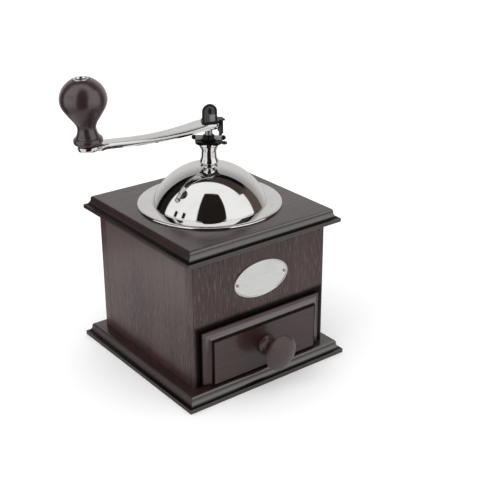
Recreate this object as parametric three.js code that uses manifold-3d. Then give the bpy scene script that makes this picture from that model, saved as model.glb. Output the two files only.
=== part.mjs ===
// A hand-cranked coffee grinder: a wooden box with a drawer below, and a domed conical mill above.
// Millimetres, +Z up. The origin is the centre of the base board's underside, and the drawer faces -Y.
import * as THREE from 'three';
import { mergeVertices } from 'three/addons/utils/BufferGeometryUtils.js';
import Module from 'manifold-3d';

const wasm = await Module();
wasm.setup();

// Clearances and overruns
const gap = 0.3;
const cutOverrun = 2;
const coreShare = 0.5;

// Facet counts
const largeSides = 48;
const middleSides = 24;
const smallSides = 16;

// Base board, with a moulded edge: a lip below, a cove and a small rounded shoulder above
const baseSideOverhang = 11.5;
const baseFrontOverhang = 11.65;
const baseThickness = 9.8;
const baseLip = 3.2;
const baseMouldRun = 5;

// Top board, with the same kind of edge
const topSideOverhang = 8.15;
const topFrontOverhang = 8.3;
const topThickness = 9.6;
const topLip = 2.9;
const topMouldRun = 5.55;
const shoulderRunShare = 0.28;
const shoulderRiseShare = 0.28;

// Box between the boards
const caseHalfWidth = 56;
const caseHalfDepth = 58;
const caseHeight = 93.6;
const panelThickness = 8;

// Drawer
const openingStile = 10;
const openingTop = 46;
const drawerSideGap = 0.5;
const drawerWall = 5;
const drawerBottomThickness = 3;
const drawerBottomLift = 1.4;
const drawerTop = 44;
const drawerBackSetback = 16;
const guideHeight = 14;
const frontSideOverlap = 4.5;
const frontTop = 50.3;
const frontBottom = 11.6;
const frontLip = 2;
const frontMouldRun = 6.6;
const frontThickness = 5.7;

// Drawer knob, on an axis that runs towards -Y
const drawerKnobHeight = 28;
const drawerKnobLength = 19.5;
const drawerKnobCapRadius = 12.6;
const drawerKnobNeckRadius = 5.2;
const drawerKnobRingRadius = 7.4;
const drawerScrewRadius = 2;
const drawerScrewHeadRadius = 4;
const drawerScrewHeadHeight = 1.8;
const drawerScrewDepthShare = 0.55;

// Oval plaque and its two pins
const plaqueHalfLength = 22.76;
const plaqueHalfHeight = 12.95;
const plaqueHeight = 76.1;
const plaqueThickness = 0.6;
const plaqueRimHeight = 0.4;
const plaqueRimWidth = 1.1;
const plaquePinReach = 20;
const plaquePinRadius = 0.5;
const plaquePinHeadRadius = 1;
const plaquePinHeadHeight = 0.5;
const plaquePinLength = 5;

// Screws that hold the base board to the side panels
const baseScrewSetback = 18;
const baseScrewRadius = 1.8;
const baseScrewHeadRadius = 3.6;
const baseScrewHeadHeight = 2;
const baseScrewRecess = 3;
const baseScrewTop = 26;

// Funnel bowl that hangs in the top board
const bowlRimRadius = 46.2;
const bowlMouthRadius = 40;
const bowlFloorRadius = 23;
const bowlThroatRadius = 15;
const bowlFloorDrop = 22;
const bowlWall = 1;
const bowlRimThickness = 0.8;
const bowlRebate = 2.3;
const bowlRebateGap = 0.8;
const bowlScrewCircle = 43.4;
const bowlScrewAngle = 45;
const bowlScrewCount = 4;
const bowlScrewRadius = 1.6;
const bowlScrewHeadRadius = 2.2;
const bowlScrewHeadHeight = 0.9;
const bowlScrewDepth = 7;

// Flange ring that covers the rim of the bowl
const flangeRadius = 50.8;
const flangeInnerRadius = 37.2;
const flangeHeight = 1.8;
const flangeEdgeWidth = 2.4;

// Dome, with a sector-shaped filling port and a shutter that turns inside it
const domeRadius = 40.6;
const domeRise = 27.7;
const domeWall = 1;
const portAngle = 52.3;
const portHalfAngle = 35;
const portUpperAngle = 32;
const portLowerAngle = 60;
const shutterWall = 0.8;
const shutterGap = 0.4;
const shutterHalfAngle = 42;
const shutterLowerAngle = 63;
const shutterHubRadius = 9;
const shutterKnobAngle = 54;
const shutterKnobSetbackAngle = 30.5;
const shutterKnobRadius = 2;
const shutterKnobHeight = 4.2;
const shutterRivetRadius = 0.9;

// Hourglass neck on the dome, its bush and its ring nut
const neckHeight = 14.5;
const neckFootRadius = 6.5;
const neckWaistRadius = 5.1;
const neckTopRadius = 6.1;
const neckBore = 3.7;
const neckSpigotRadius = 4.6;
const domeNutRadius = 7;
const domeNutHeight = 2.5;
const domeNutDrop = 0.4;
const bushRadius = 3.4;
const bushBore = 2.85;
const bushLength = 9;

// Burr housing under the bowl, its three screws, and the two burrs
const housingRadius = 17.6;
const housingFlangeRadius = 23;
const housingFlangeThickness = 3;
const housingHeight = 27.5;
const bridgeHeight = 5;
const bridgeHubRadius = 6;
const spokeWidth = 4;
const spokeCount = 3;
const housingScrewCircle = 20.4;
const housingScrewAngle = 60;
const housingScrewRadius = 1.4;
const housingScrewHeadRadius = 2.3;
const housingScrewHeadHeight = 1.6;
const outerBurrRadius = 14.4;
const outerBurrHeight = 18;
const innerBurrBottomRadius = 11.2;
const innerBurrTopRadius = 7.2;
const innerBurrHeight = 15;
const burrGap = 0.9;
const burrFlutes = 12;
const fluteShare = 0.12;
const burrTwistAngle = 40;

// Main shaft, from the bridge up through the neck to the crank
const shaftLowerRadius = 3;
const shaftUpperRadius = 2.6;
const shaftSpigotRadius = 1.9;
const shaftTail = 3.5;
const burrNutRadius = 5.2;
const burrNutHeight = 2.8;
const collarRadius = 6;
const collarHeight = 2;
const springSeatDrop = 1;
const springRadius = 4.7;
const springWireRadius = 0.6;
const springTurns = 6;
const springStepsPerTurn = 8;
const springSides = 5;

// Adjuster on the neck: a lugged thrust plate, and a winged nut with ball ends
const thrustPlateRadius = 9.4;
const thrustPlateHalfWidth = 6.3;
const thrustPlateThickness = 1.4;
const thrustLugRadius = 1.8;
const thrustLugReach = 11.7;
const thrustLugAngle = 136;
const nutHubRadius = 5.2;
const nutFlangeRadius = 6.3;
const nutFlangeHeight = 0.8;
const nutHeight = 3.5;
const wingAngle = 153.5;
const wingReach = 10.1;
const wingThickness = 2.2;
const wingBallRadius = 1.7;

// Crank, made along +X and then turned about the shaft
const crankAngle = 164.75;
const armReach = 83.3;
const armHubHalfWidth = 8;
const armTipHalfWidth = 5.3;
const armPadRadius = 7.6;
const armEndRadius = 7.7;
const armDepth = 3.8;
const armSkin = 1.2;
const armPadThickness = 1.4;
const armPadSkirt = 3;
const armPadWellRadius = 5.6;
const armPadOverlap = 2.4;
const armHubRise = 9.35;
const armPadFall = 6.23;
const armLowFall = 5.35;
const knobLeanAngle = 3;
const crankNutRadius = 2.9;
const crankNutHeight = 2.2;

// Catch: a bent sheet on the end of the arm, with an upright tab and a strap that reaches the nut
const catchThickness = 1;
const catchPlateHalfWidth = 7.6;
const catchFront = 4.8;
const catchCornerRun = 3.2;
const catchCornerStart = 1.8;
const catchNutPlay = 0.6;
const catchStrapReach = 9.2;
const catchStrapThickness = 1.2;
const catchStrapHalfWidth = 4;
const catchShoulderRise = 0.7;
const catchTongueHalfWidth = 1.6;
const catchTongueRise = 0.5;
const catchLipReach = 1.8;
const catchLipHalfWidth = 3;
const catchTabHeight = 12.9;
const catchTabHalfWidth = 5.25;
const catchTabCentre = 1.65;
const catchRimWidth = 1.4;
const catchRecessDepth = 0.3;
const catchHoleDepth = 0.7;
const catchHoleHalfWidth = 1.2;
const catchHoleHalfHeight = 1.8;
const catchHoleDrop = 4.5;
const catchHookHalfWidth = 1.8;
const catchHookReach = 2.4;
const catchHookThickness = 0.8;
const catchHookDrop = 2.4;
const catchSlotPlay = 0.6;

// Crank knob, its rivet and its cap
const knobFootRadius = 7.3;
const knobFlangeRadius = 9.75;
const knobFlangeHeight = 4.4;
const knobWaistRadius = 6.2;
const knobWaistHeight = 12.1;
const knobRadius = 15.6;
const knobWidestHeight = 30.2;
const knobTop = 44.5;
const knobBore = 2.8;
const pinRadius = 2.5;
const pinHeadRadius = 4.6;
const pinHeadHeight = 1.6;
const capRadius = 5.2;
const capDepth = 5.2;
const capRimHeight = 0.4;
const capLand = 0.6;
const capRecessRadius = 3.8;
const capRecessDepth = 1.6;

// Heights and places worked out from the sizes above
const caseTop = baseThickness + caseHeight;
const boardTop = caseTop + topThickness;
const baseHalfWidth = caseHalfWidth + baseSideOverhang;
const baseHalfDepth = caseHalfDepth + baseFrontOverhang;
const topHalfWidth = caseHalfWidth + topSideOverhang;
const topHalfDepth = caseHalfDepth + topFrontOverhang;
const openingHalfWidth = caseHalfWidth - openingStile;
const frontHalfWidth = openingHalfWidth + frontSideOverlap;
const baseScrewX = caseHalfWidth - panelThickness / 2;
const baseScrewY = caseHalfDepth - baseScrewSetback;
const frontFace = -caseHalfDepth - gap;
const drawerHalfWidth = openingHalfWidth - drawerSideGap;
const drawerInnerHalfWidth = drawerHalfWidth - drawerWall;
const drawerBack = caseHalfDepth - drawerBackSetback;
const drawerUnderside = baseThickness + gap;
const rimSeat = boardTop - bowlRebate;
const rimTop = rimSeat + bowlRimThickness;
const bowlFloor = rimTop - bowlFloorDrop;
const flangeTop = boardTop + flangeHeight;
const domeBase = flangeTop;
const domeSphere = (domeRadius ** 2 + domeRise ** 2) / (domeRise + domeRise);
const domeCentre = domeBase + domeRise - domeSphere;
const domeApex = domeBase + domeRise;
const shutterOuter = domeSphere - domeWall - shutterGap;
const shutterInner = shutterOuter - shutterWall;
const domeNutTop = domeCentre + Math.sqrt(shutterInner ** 2 - domeNutRadius ** 2) - domeNutDrop;
const domeNutBottom = domeNutTop - domeNutHeight;
const neckTop = domeApex + neckHeight;
const neckSeat = domeCentre + Math.sqrt(domeSphere ** 2 - neckFootRadius ** 2) + gap;
const housingTop = bowlFloor - bowlWall - gap;
const housingBottom = housingTop - housingHeight;
const bridgeTop = housingBottom + bridgeHeight;
const burrNutBottom = bridgeTop + gap;
const innerBurrBottom = burrNutBottom + burrNutHeight + gap;
const innerBurrTop = innerBurrBottom + innerBurrHeight;
const outerBurrBottom = bridgeTop + gap;
const outerBurrTop = outerBurrBottom + outerBurrHeight;
const shaftBottom = housingBottom - shaftTail;
const springSeatHeight = boardTop - springSeatDrop;
const thrustPlateBottom = neckTop + gap;
const nutBottom = thrustPlateBottom + thrustPlateThickness + gap;
const nutTop = nutBottom + nutHeight;
const catchShoulderHeight = nutTop + catchShoulderRise;
const catchTongueBottom = nutBottom + catchTongueRise;
const armHubTop = nutTop + armHubRise;
const armPadTop = armHubTop - armPadFall;
const armLowTop = armHubTop - armLowFall;
const catchPlateBottom = armHubTop + gap;
const catchPlateTop = catchPlateBottom + catchThickness;

const degrees = angle => THREE.MathUtils.degToRad(angle);

// Materials
const finish = (color, roughness, metalness) =>
  new THREE.MeshStandardMaterial({ color, roughness, metalness });
const stainedWood = finish(0x3a2a28, 0.5, 0);
const drawerWood = finish(0x9a7b58, 0.7, 0);
const chrome = finish(0xd8d8da, 0.08, 1);
const satinSilver = finish(0xc4c5c4, 0.35, 1);
const blackSteel = finish(0x1c1c1e, 0.4, 0.6);
const castIron = finish(0x55555a, 0.6, 0.8);
const steel = finish(0x9a9ba0, 0.35, 1);
const bronze = finish(0x9c7a45, 0.4, 1);

// Geometry helpers

// A closed geometry as a solid: shared corners are merged, and the faces are turned outwards.
function solidOf(geometry) {
  const bare = geometry.clone();
  bare.deleteAttribute('normal');
  bare.deleteAttribute('uv');
  const merged = mergeVertices(bare);
  const place = merged.attributes.position;
  const corner = new THREE.Vector3();
  const other = new THREE.Vector3();
  const third = new THREE.Vector3();
  const faces = [];
  let volume = 0;
  for (let i = 0; i < merged.index.count; i += 3) {
    const [a, b, c] = [0, 1, 2].map(step => merged.index.getX(i + step));
    if (a === b || b === c || c === a) continue;
    faces.push([a, b, c]);
    corner.fromBufferAttribute(place, a);
    other.fromBufferAttribute(place, b);
    third.fromBufferAttribute(place, c);
    volume += corner.dot(other.cross(third));
  }
  const outward = volume > 0 ? faces : faces.map(([a, b, c]) => [a, c, b]);
  return new wasm.Manifold(new wasm.Mesh({
    numProp: 3,
    vertProperties: new Float32Array(place.array),
    triVerts: new Uint32Array(outward.flat()),
  }));
}

function geometryOf(solid) {
  const mesh = solid.getMesh();
  const geometry = new THREE.BufferGeometry();
  geometry.setAttribute('position', new THREE.BufferAttribute(mesh.vertProperties, mesh.numProp));
  geometry.setIndex(new THREE.BufferAttribute(mesh.triVerts, 1));
  geometry.computeVertexNormals();
  return geometry;
}

// A turned piece about +Z from outline points (radius, height).
function turnedShape(outline, sides, closed) {
  const points = outline.map(([radius, height]) => new THREE.Vector2(radius, height));
  if (closed) points.push(points[0].clone());
  return new THREE.LatheGeometry(points, sides).rotateX(Math.PI / 2);
}
const turned = (outline, sides) => solidOf(turnedShape(outline, sides, false));
const turnedRing = (outline, sides) => solidOf(turnedShape(outline, sides, true));
const rod = (radius, low, high, sides = middleSides) =>
  turned([[0, low], [radius, low], [radius, high], [0, high]], sides);

function block(lowX, highX, lowY, highY, lowZ, highZ) {
  const box = new THREE.BoxGeometry(highX - lowX, highY - lowY, highZ - lowZ);
  box.translate((lowX + highX) / 2, (lowY + highY) / 2, (lowZ + highZ) / 2);
  return solidOf(box);
}

// A flat outline (x, y) raised from one height to another.
function upright(outline, low, high, steps = 6) {
  const shape = outline instanceof THREE.Shape ? outline : shapeOf(outline);
  const options = { depth: high - low, bevelEnabled: false, curveSegments: steps };
  return solidOf(new THREE.ExtrudeGeometry(shape, options).translate(0, 0, low));
}

// A side outline (x, z) drawn across from one y to another.
function across(outline, low, high, steps = 6) {
  const shape = outline instanceof THREE.Shape ? outline : shapeOf(outline);
  const options = { depth: high - low, bevelEnabled: false, curveSegments: steps };
  return solidOf(new THREE.ExtrudeGeometry(shape, options).rotateX(Math.PI / 2).translate(0, high, 0));
}

const shapeOf = points => new THREE.Shape(points.map(([x, y]) => new THREE.Vector2(x, y)));

const moved = (solid, x, y, z) => solid.translate([x, y, z]);
const spun = (solid, turn) => solid.rotate([0, 0, turn]);
const joined = solids => solids.reduce((whole, next) => whole.add(next));
const cut = (solid, ...tools) => tools.reduce((whole, tool) => whole.subtract(tool), solid);

// Points on an arc in the (radius, height) plane. Polar angles are measured from +Z.
function polarArc(radius, centre, from, to, steps) {
  return Array.from({ length: steps + 1 }, (_, i) => {
    const polar = degrees(from + (to - from) * i / steps);
    return [radius * Math.sin(polar), centre + radius * Math.cos(polar)];
  });
}

// The moulded edge as (inset, height) points: lip, cove, rounded shoulder.
function mouldEdge(lip, run, thickness) {
  const shoulderRun = run * shoulderRunShare;
  const shoulderRise = (thickness - lip) * shoulderRiseShare;
  const coveRun = run - shoulderRun;
  const coveRise = thickness - lip - shoulderRise;
  const points = [[0, 0], [0, lip]];
  const coveSteps = 4;
  for (let i = 1; i <= coveSteps; i++) {
    const turn = Math.PI / 2 * i / coveSteps;
    points.push([coveRun * Math.sin(turn), lip + coveRise * (1 - Math.cos(turn))]);
  }
  const shoulderSteps = 3;
  for (let i = 1; i <= shoulderSteps; i++) {
    const turn = Math.PI / 2 * i / shoulderSteps;
    points.push([run - shoulderRun * Math.cos(turn), thickness - shoulderRise * (1 - Math.sin(turn))]);
  }
  return points;
}

// A rectangular board with that edge: a four-sided lathe whose middle is drawn out in y.
function mouldedBoard(halfWidth, halfDepth, edge) {
  const diagonal = Math.SQRT2;
  const outline = edge.map(([inset, height]) => [(halfWidth - inset) * diagonal, height]);
  const closedOutline = [[0, edge[0][1]], ...outline, [0, edge.at(-1)[1]]];
  const board = turnedShape(closedOutline, 4, false).rotateZ(Math.PI / 4);
  const place = board.attributes.position;
  const drawnOut = halfDepth - halfWidth;
  for (let i = 0; i < place.count; i++) {
    const y = place.getY(i);
    if (Math.abs(y) > gap) place.setY(i, y + Math.sign(y) * drawnOut);
  }
  return solidOf(board);
}

// A pan-head screw on +Z: the head's seat is at height zero and the shank runs down from it.
function screw(shankRadius, headRadius, headHeight, length) {
  const crown = headHeight * coreShare;
  return turned([
    [0, -length], [shankRadius, -length], [shankRadius, 0], [headRadius, 0],
    [headRadius, crown], [headRadius * (1 - coreShare / 2), headHeight], [0, headHeight],
  ], smallSides);
}

function hexNut(radius, bore, low, high) {
  const sides = 6;
  return cut(rod(radius, low, high, sides), rod(bore, low - cutOverrun, high + cutOverrun, smallSides));
}

// A cone between two radii with twisted flutes. Odd columns are moved by a share of the radius.
function flutedCone(bottomRadius, topRadius, low, high, share) {
  const columns = burrFlutes * 2;
  const rings = 3;
  const side = Array.from({ length: rings + 1 }, (_, i) => [
    bottomRadius + (topRadius - bottomRadius) * i / rings, low + (high - low) * i / rings,
  ]);
  const cone = turnedShape([[0, low], ...side, [0, high]], columns, false);
  const place = cone.attributes.position;
  const rows = side.length + 2;
  const point = new THREE.Vector3();
  const axis = new THREE.Vector3(0, 0, 1);
  for (let i = 0; i < place.count; i++) {
    const column = Math.floor(i / rows);
    point.fromBufferAttribute(place, i);
    const grow = column % 2 === 1 ? 1 + share : 1;
    point.set(point.x * grow, point.y * grow, point.z);
    point.applyAxisAngle(axis, degrees(burrTwistAngle * (point.z - low) / (high - low)));
    place.setXYZ(i, point.x, point.y, point.z);
  }
  return solidOf(cone);
}

// A wedge about +Z between two turns, as tall as asked.
function wedge(fromTurn, toTurn, radius, low, high) {
  const steps = 6;
  const rim = Array.from({ length: steps + 1 }, (_, i) => {
    const turn = degrees(fromTurn + (toTurn - fromTurn) * i / steps);
    return [radius * Math.cos(turn), radius * Math.sin(turn)];
  });
  return upright([[0, 0], ...rim], low, high);
}

const grinder = new THREE.Group();
grinder.name = 'coffee_grinder';

// Adds one named piece to a group.
function piece(name, solid, material, group = grinder) {
  const mesh = new THREE.Mesh(geometryOf(solid), material);
  mesh.name = name;
  group.add(mesh);
  return mesh;
}

// Wooden case

const baseScrewPlaces = [[1, 1], [-1, 1], [-1, -1], [1, -1]].map(
  ([sideX, sideY]) => [sideX * baseScrewX, sideY * baseScrewY]);
const baseScrewHoles = joined(baseScrewPlaces.map(([x, y]) => moved(
  rod(baseScrewRadius + gap, -cutOverrun, baseScrewTop + gap, smallSides), x, y, 0)));

function addBoards() {
  const recesses = joined(baseScrewPlaces.map(([x, y]) => moved(
    rod(baseScrewHeadRadius + gap, -cutOverrun, baseScrewRecess, smallSides), x, y, 0)));
  const base = mouldedBoard(baseHalfWidth, baseHalfDepth, mouldEdge(baseLip, baseMouldRun, baseThickness));
  piece('base_board', cut(base, baseScrewHoles, recesses), stainedWood);

  const top = mouldedBoard(topHalfWidth, topHalfDepth, mouldEdge(topLip, topMouldRun, topThickness));
  const hole = rod(bowlMouthRadius + bowlWall + gap, -cutOverrun, topThickness + cutOverrun, largeSides);
  const rebateRadius = bowlRimRadius + bowlRebateGap;
  const rebate = rod(rebateRadius, topThickness - bowlRebate, topThickness + cutOverrun, largeSides);
  const screwHoles = bowlScrewPlaces.map(([x, y]) => moved(
    rod(bowlScrewRadius + gap, rimTop - bowlScrewDepth, rimTop + cutOverrun, smallSides), x, y, 0));
  piece('top_board', cut(moved(cut(top, hole, rebate), 0, 0, caseTop), ...screwHoles), stainedWood);
}

function addPanels() {
  const innerX = caseHalfWidth - panelThickness;
  const innerY = caseHalfDepth - panelThickness;
  const sidePanel = side => {
    const [low, high] = side > 0 ? [innerX, caseHalfWidth] : [-caseHalfWidth, -innerX];
    return cut(block(low, high, -innerY, innerY, baseThickness, caseTop), baseScrewHoles);
  };
  const front = shapeOf([
    [-caseHalfWidth, baseThickness], [-openingHalfWidth, baseThickness], [-openingHalfWidth, openingTop],
    [openingHalfWidth, openingTop], [openingHalfWidth, baseThickness], [caseHalfWidth, baseThickness],
    [caseHalfWidth, caseTop], [-caseHalfWidth, caseTop],
  ]);
  const pinHoles = [-plaquePinReach, plaquePinReach].map(x => pinHole(x, plaquePinLength + gap));
  piece('front_panel', cut(across(front, -caseHalfDepth, -innerY), ...pinHoles), stainedWood);
  piece('back_panel', block(-caseHalfWidth, caseHalfWidth, innerY, caseHalfDepth, baseThickness, caseTop),
    stainedWood);
  piece('left_panel', sidePanel(-1), stainedWood);
  piece('right_panel', sidePanel(1), stainedWood);
  const guideTop = baseThickness + guideHeight;
  const guideInner = drawerHalfWidth + gap;
  const guideSpan = [-innerY, innerY, baseThickness, guideTop];
  piece('drawer_guide_left', block(-innerX, -guideInner, ...guideSpan), drawerWood);
  piece('drawer_guide_right', block(guideInner, innerX, ...guideSpan), drawerWood);
}

function addBaseScrews() {
  const seat = baseScrewRecess - gap;
  baseScrewPlaces.forEach(([x, y], i) => {
    const body = screw(baseScrewRadius, baseScrewHeadRadius, baseScrewHeadHeight, baseScrewTop - seat);
    piece(`base_screw_${i + 1}`, moved(body.rotate([180, 0, 0]), x, y, seat), steel);
  });
}

// Plaque

const pinHole = (x, depth) => {
  const hole = rod(plaquePinRadius + gap, -depth, cutOverrun, smallSides).rotate([90, 0, 0]);
  return moved(hole, x, -caseHalfDepth, plaqueHeight);
};

function ellipse(halfLength, halfHeight) {
  const shape = new THREE.Shape();
  shape.absellipse(0, 0, halfLength, halfHeight, 0, Math.PI * 2);
  return shape;
}

function addPlaque() {
  const steps = 20;
  const back = -caseHalfDepth;
  const face = back - plaqueThickness;
  const rimFace = face - plaqueRimHeight;
  const sheet = across(ellipse(plaqueHalfLength, plaqueHalfHeight), rimFace, back, steps);
  const well = across(
    ellipse(plaqueHalfLength - plaqueRimWidth, plaqueHalfHeight - plaqueRimWidth),
    rimFace - cutOverrun, face, steps);
  const plate = moved(cut(sheet, well), 0, 0, plaqueHeight);
  const holes = [-plaquePinReach, plaquePinReach].map(x => pinHole(x, gap));
  piece('plaque', cut(plate, ...holes), satinSilver);
  [['left', -1], ['right', 1]].forEach(([name, side]) => {
    const pin = screw(plaquePinRadius, plaquePinHeadRadius, plaquePinHeadHeight, plaquePinLength)
      .rotate([90, 0, 0]);
    piece(`plaque_pin_${name}`, moved(pin, side * plaquePinReach, face - gap, plaqueHeight), satinSilver);
  });
}

// Drawer

function addDrawer() {
  const frontDepth = (frontTop - frontBottom + frontMouldRun) / 2;
  const edge = mouldEdge(frontLip, frontMouldRun, frontThickness);
  const face = mouldedBoard(frontHalfWidth, frontDepth, edge).rotate([90, 0, 0]);
  const placed = moved(face, 0, frontFace, frontTop - frontDepth);
  const below = block(-baseHalfWidth, baseHalfWidth, -baseHalfDepth, 0, -caseHalfDepth, frontBottom);
  const screwHole = moved(
    rod(drawerScrewRadius + gap, -cutOverrun, frontThickness + cutOverrun, smallSides).rotate([90, 0, 0]),
    0, frontFace, drawerKnobHeight);
  piece('drawer_front', cut(placed, below, screwHole), stainedWood);

  const sideSpan = [frontFace, drawerBack, drawerUnderside, drawerTop];
  piece('drawer_left_side', block(-drawerHalfWidth, -drawerInnerHalfWidth, ...sideSpan), drawerWood);
  piece('drawer_right_side', block(drawerInnerHalfWidth, drawerHalfWidth, ...sideSpan), drawerWood);
  const backFace = drawerBack - drawerWall;
  piece('drawer_back', block(-drawerInnerHalfWidth, drawerInnerHalfWidth,
    backFace, drawerBack, drawerUnderside, drawerTop), drawerWood);
  const floorLow = frontBottom + drawerBottomLift;
  piece('drawer_bottom', block(-drawerInnerHalfWidth, drawerInnerHalfWidth,
    frontFace, backFace, floorLow, floorLow + drawerBottomThickness), drawerWood);
}

// Outline of the turned drawer knob as (radius, reach from the drawer front).
function drawerKnobOutline() {
  const capRim = drawerKnobLength * 0.82;
  const neck = drawerKnobLength * 0.4;
  const ring = drawerKnobLength * 0.12;
  const shares = { ringStep: 0.9, flare: 0.62, underRim: 0.92, crown: 0.7 };
  return [
    [drawerKnobRingRadius, 0], [drawerKnobRingRadius, ring],
    [drawerKnobNeckRadius * (1 + shares.ringStep * ring / neck), (ring + neck) / 2],
    [drawerKnobNeckRadius, neck],
    [drawerKnobCapRadius * shares.flare, (neck + capRim) / 2],
    [drawerKnobCapRadius * shares.underRim, capRim - ring],
    [drawerKnobCapRadius, capRim],
    [drawerKnobCapRadius * shares.underRim, capRim + ring],
    [drawerKnobCapRadius * shares.crown, drawerKnobLength - ring / 3],
    [0, drawerKnobLength],
  ];
}

function addDrawerKnob() {
  const face = frontFace - frontThickness;
  const depth = drawerKnobLength * drawerScrewDepthShare;
  const body = cut(turned([[0, 0], ...drawerKnobOutline()], middleSides),
    rod(drawerScrewRadius + gap, -cutOverrun, depth, smallSides));
  piece('drawer_knob', moved(body.rotate([90, 0, 0]), 0, face, drawerKnobHeight), stainedWood);
  const length = frontThickness + depth - gap;
  const fixing = screw(drawerScrewRadius, drawerScrewHeadRadius, drawerScrewHeadHeight, length);
  piece('drawer_knob_screw', moved(fixing.rotate([-90, 0, 0]), 0, frontFace + gap, drawerKnobHeight), steel);
}

// Bowl, flange, dome and shutter

const around = (count, radius, start = 0) => Array.from({ length: count }, (_, i) => {
  const turn = degrees(start + i * 360 / count);
  return [radius * Math.cos(turn), radius * Math.sin(turn)];
});
const bowlScrewPlaces = around(bowlScrewCount, bowlScrewCircle, bowlScrewAngle);
const housingScrewPlaces = around(spokeCount, housingScrewCircle, housingScrewAngle);

function addBowl() {
  const outerMouth = bowlMouthRadius + bowlWall;
  const shell = turnedRing([
    [bowlRimRadius, rimSeat], [bowlRimRadius, rimTop], [bowlMouthRadius, rimTop],
    [bowlFloorRadius, bowlFloor], [bowlThroatRadius, bowlFloor],
    [bowlThroatRadius, bowlFloor - bowlWall], [bowlFloorRadius + bowlWall, bowlFloor - bowlWall],
    [outerMouth, rimSeat],
  ], largeSides);
  const holes = [
    ...bowlScrewPlaces.map(([x, y]) => moved(
      rod(bowlScrewRadius + gap, rimSeat - cutOverrun, rimTop + cutOverrun, smallSides), x, y, 0)),
    ...housingScrewPlaces.map(([x, y]) => moved(
      rod(housingScrewRadius + gap, bowlFloor - cutOverrun, bowlFloor + cutOverrun, smallSides), x, y, 0)),
  ];
  piece('hopper_bowl', cut(shell, ...holes), steel);
  bowlScrewPlaces.forEach(([x, y], i) => {
    const body = screw(bowlScrewRadius, bowlScrewHeadRadius, bowlScrewHeadHeight, bowlScrewDepth);
    piece(`bowl_screw_${i + 1}`, moved(body, x, y, rimTop + gap), steel);
  });
}

function addFlange() {
  const flat = flangeRadius - flangeEdgeWidth;
  const shares = { rise: 0.45, shoulder: 0.85, edge: 0.12, turn: 0.55 };
  piece('flange_ring', turnedRing([
    [flangeInnerRadius, boardTop], [flangeRadius - flangeEdgeWidth * shares.edge, boardTop],
    [flangeRadius, boardTop + flangeHeight * shares.rise],
    [flangeRadius - flangeEdgeWidth * shares.edge * 2, boardTop + flangeHeight * shares.shoulder],
    [flangeRadius - flangeEdgeWidth * shares.turn, flangeTop], [flat, flangeTop],
    [flangeInnerRadius, flangeTop],
  ], largeSides), chrome);
}

// A band of spherical shell about the dome's centre.
function shellBand(outer, wall, fromPolar, toPolar, steps) {
  return turnedRing([
    ...polarArc(outer, domeCentre, fromPolar, toPolar, steps),
    ...polarArc(outer - wall, domeCentre, toPolar, fromPolar, steps),
  ], largeSides);
}

function addDome() {
  const basePolar = THREE.MathUtils.radToDeg(Math.asin(domeRadius / domeSphere));
  const holePolar = THREE.MathUtils.radToDeg(Math.asin((neckSpigotRadius + gap) / domeSphere));
  const above = rod(domeSphere, domeBase, domeApex + cutOverrun);
  const shell = shellBand(domeSphere, domeWall, holePolar, basePolar * 1.03, 10).intersect(above);
  const bandWall = domeWall + cutOverrun * 2;
  const band = shellBand(domeSphere + cutOverrun, bandWall, portUpperAngle, portLowerAngle, 4);
  const sector = wedge(portAngle - portHalfAngle, portAngle + portHalfAngle,
    domeRadius + domeSphere, domeCentre, domeApex + cutOverrun);
  piece('dome_shell', cut(shell, band.intersect(sector)), chrome);
}

function addShutter() {
  const holePolar = THREE.MathUtils.radToDeg(Math.asin((neckSpigotRadius + gap) / shutterOuter));
  const shell = shellBand(shutterOuter, shutterWall, holePolar, shutterLowerAngle, 10);
  const sector = wedge(portAngle - shutterHalfAngle, portAngle + shutterHalfAngle,
    domeRadius + domeSphere, domeCentre, domeApex);
  const hub = rod(shutterHubRadius, domeCentre, domeApex);
  const knobTurn = portAngle - shutterKnobSetbackAngle;
  const along = solid => spun(moved(
    moved(solid, 0, 0, shutterOuter).rotate([0, shutterKnobAngle, 0]), 0, 0, domeCentre), knobTurn);
  const rivetHole = along(rod(shutterRivetRadius + gap, -shutterWall - cutOverrun, cutOverrun, smallSides));
  piece('shutter', cut(shell.intersect(sector.add(hub)), rivetHole), steel);
  const neckRadius = (shutterKnobRadius + shutterRivetRadius) / 2;
  const head = shutterKnobHeight * coreShare;
  piece('shutter_knob', along(turned([
    [0, -shutterWall - gap], [shutterRivetRadius, -shutterWall - gap], [shutterRivetRadius, gap],
    [neckRadius, gap], [neckRadius, head], [shutterKnobRadius, head + gap],
    [shutterKnobRadius, shutterKnobHeight - gap], [neckRadius, shutterKnobHeight], [0, shutterKnobHeight],
  ], smallSides)), blackSteel);
}

// Neck

// Outline of the hourglass neck as (radius, height), above its foot ring.
function neckOutline() {
  const footSwell = neckFootRadius - neckWaistRadius;
  const topSwell = neckTopRadius - neckWaistRadius;
  const shares = [
    [0.96, 0, 0.03], [0.51, 0, 0.22], [0.12, 0, 0.4], [0, 0, 0.54],
    [0, 0.44, 0.71], [0, 0.85, 0.84], [0, 1, 0.95], [0, 0.9, 1],
  ];
  return shares.map(([footPart, topPart, height]) => [
    neckWaistRadius + footSwell * footPart + topSwell * topPart, domeApex + neckHeight * height,
  ]);
}

function addNeck() {
  piece('neck_sleeve', turnedRing([
    [neckBore, domeNutBottom], [neckSpigotRadius, domeNutBottom], [neckSpigotRadius, neckSeat],
    [neckFootRadius, neckSeat], ...neckOutline(), [neckBore, neckTop],
  ], middleSides), chrome);
  piece('neck_bush', turnedRing([
    [bushBore, neckTop - bushLength], [bushRadius, neckTop - bushLength],
    [bushRadius, neckTop], [bushBore, neckTop],
  ], middleSides), bronze);
  piece('dome_nut', hexNut(domeNutRadius, neckSpigotRadius + gap, domeNutBottom, domeNutTop), steel);
}

// Burr housing and burrs

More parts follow.
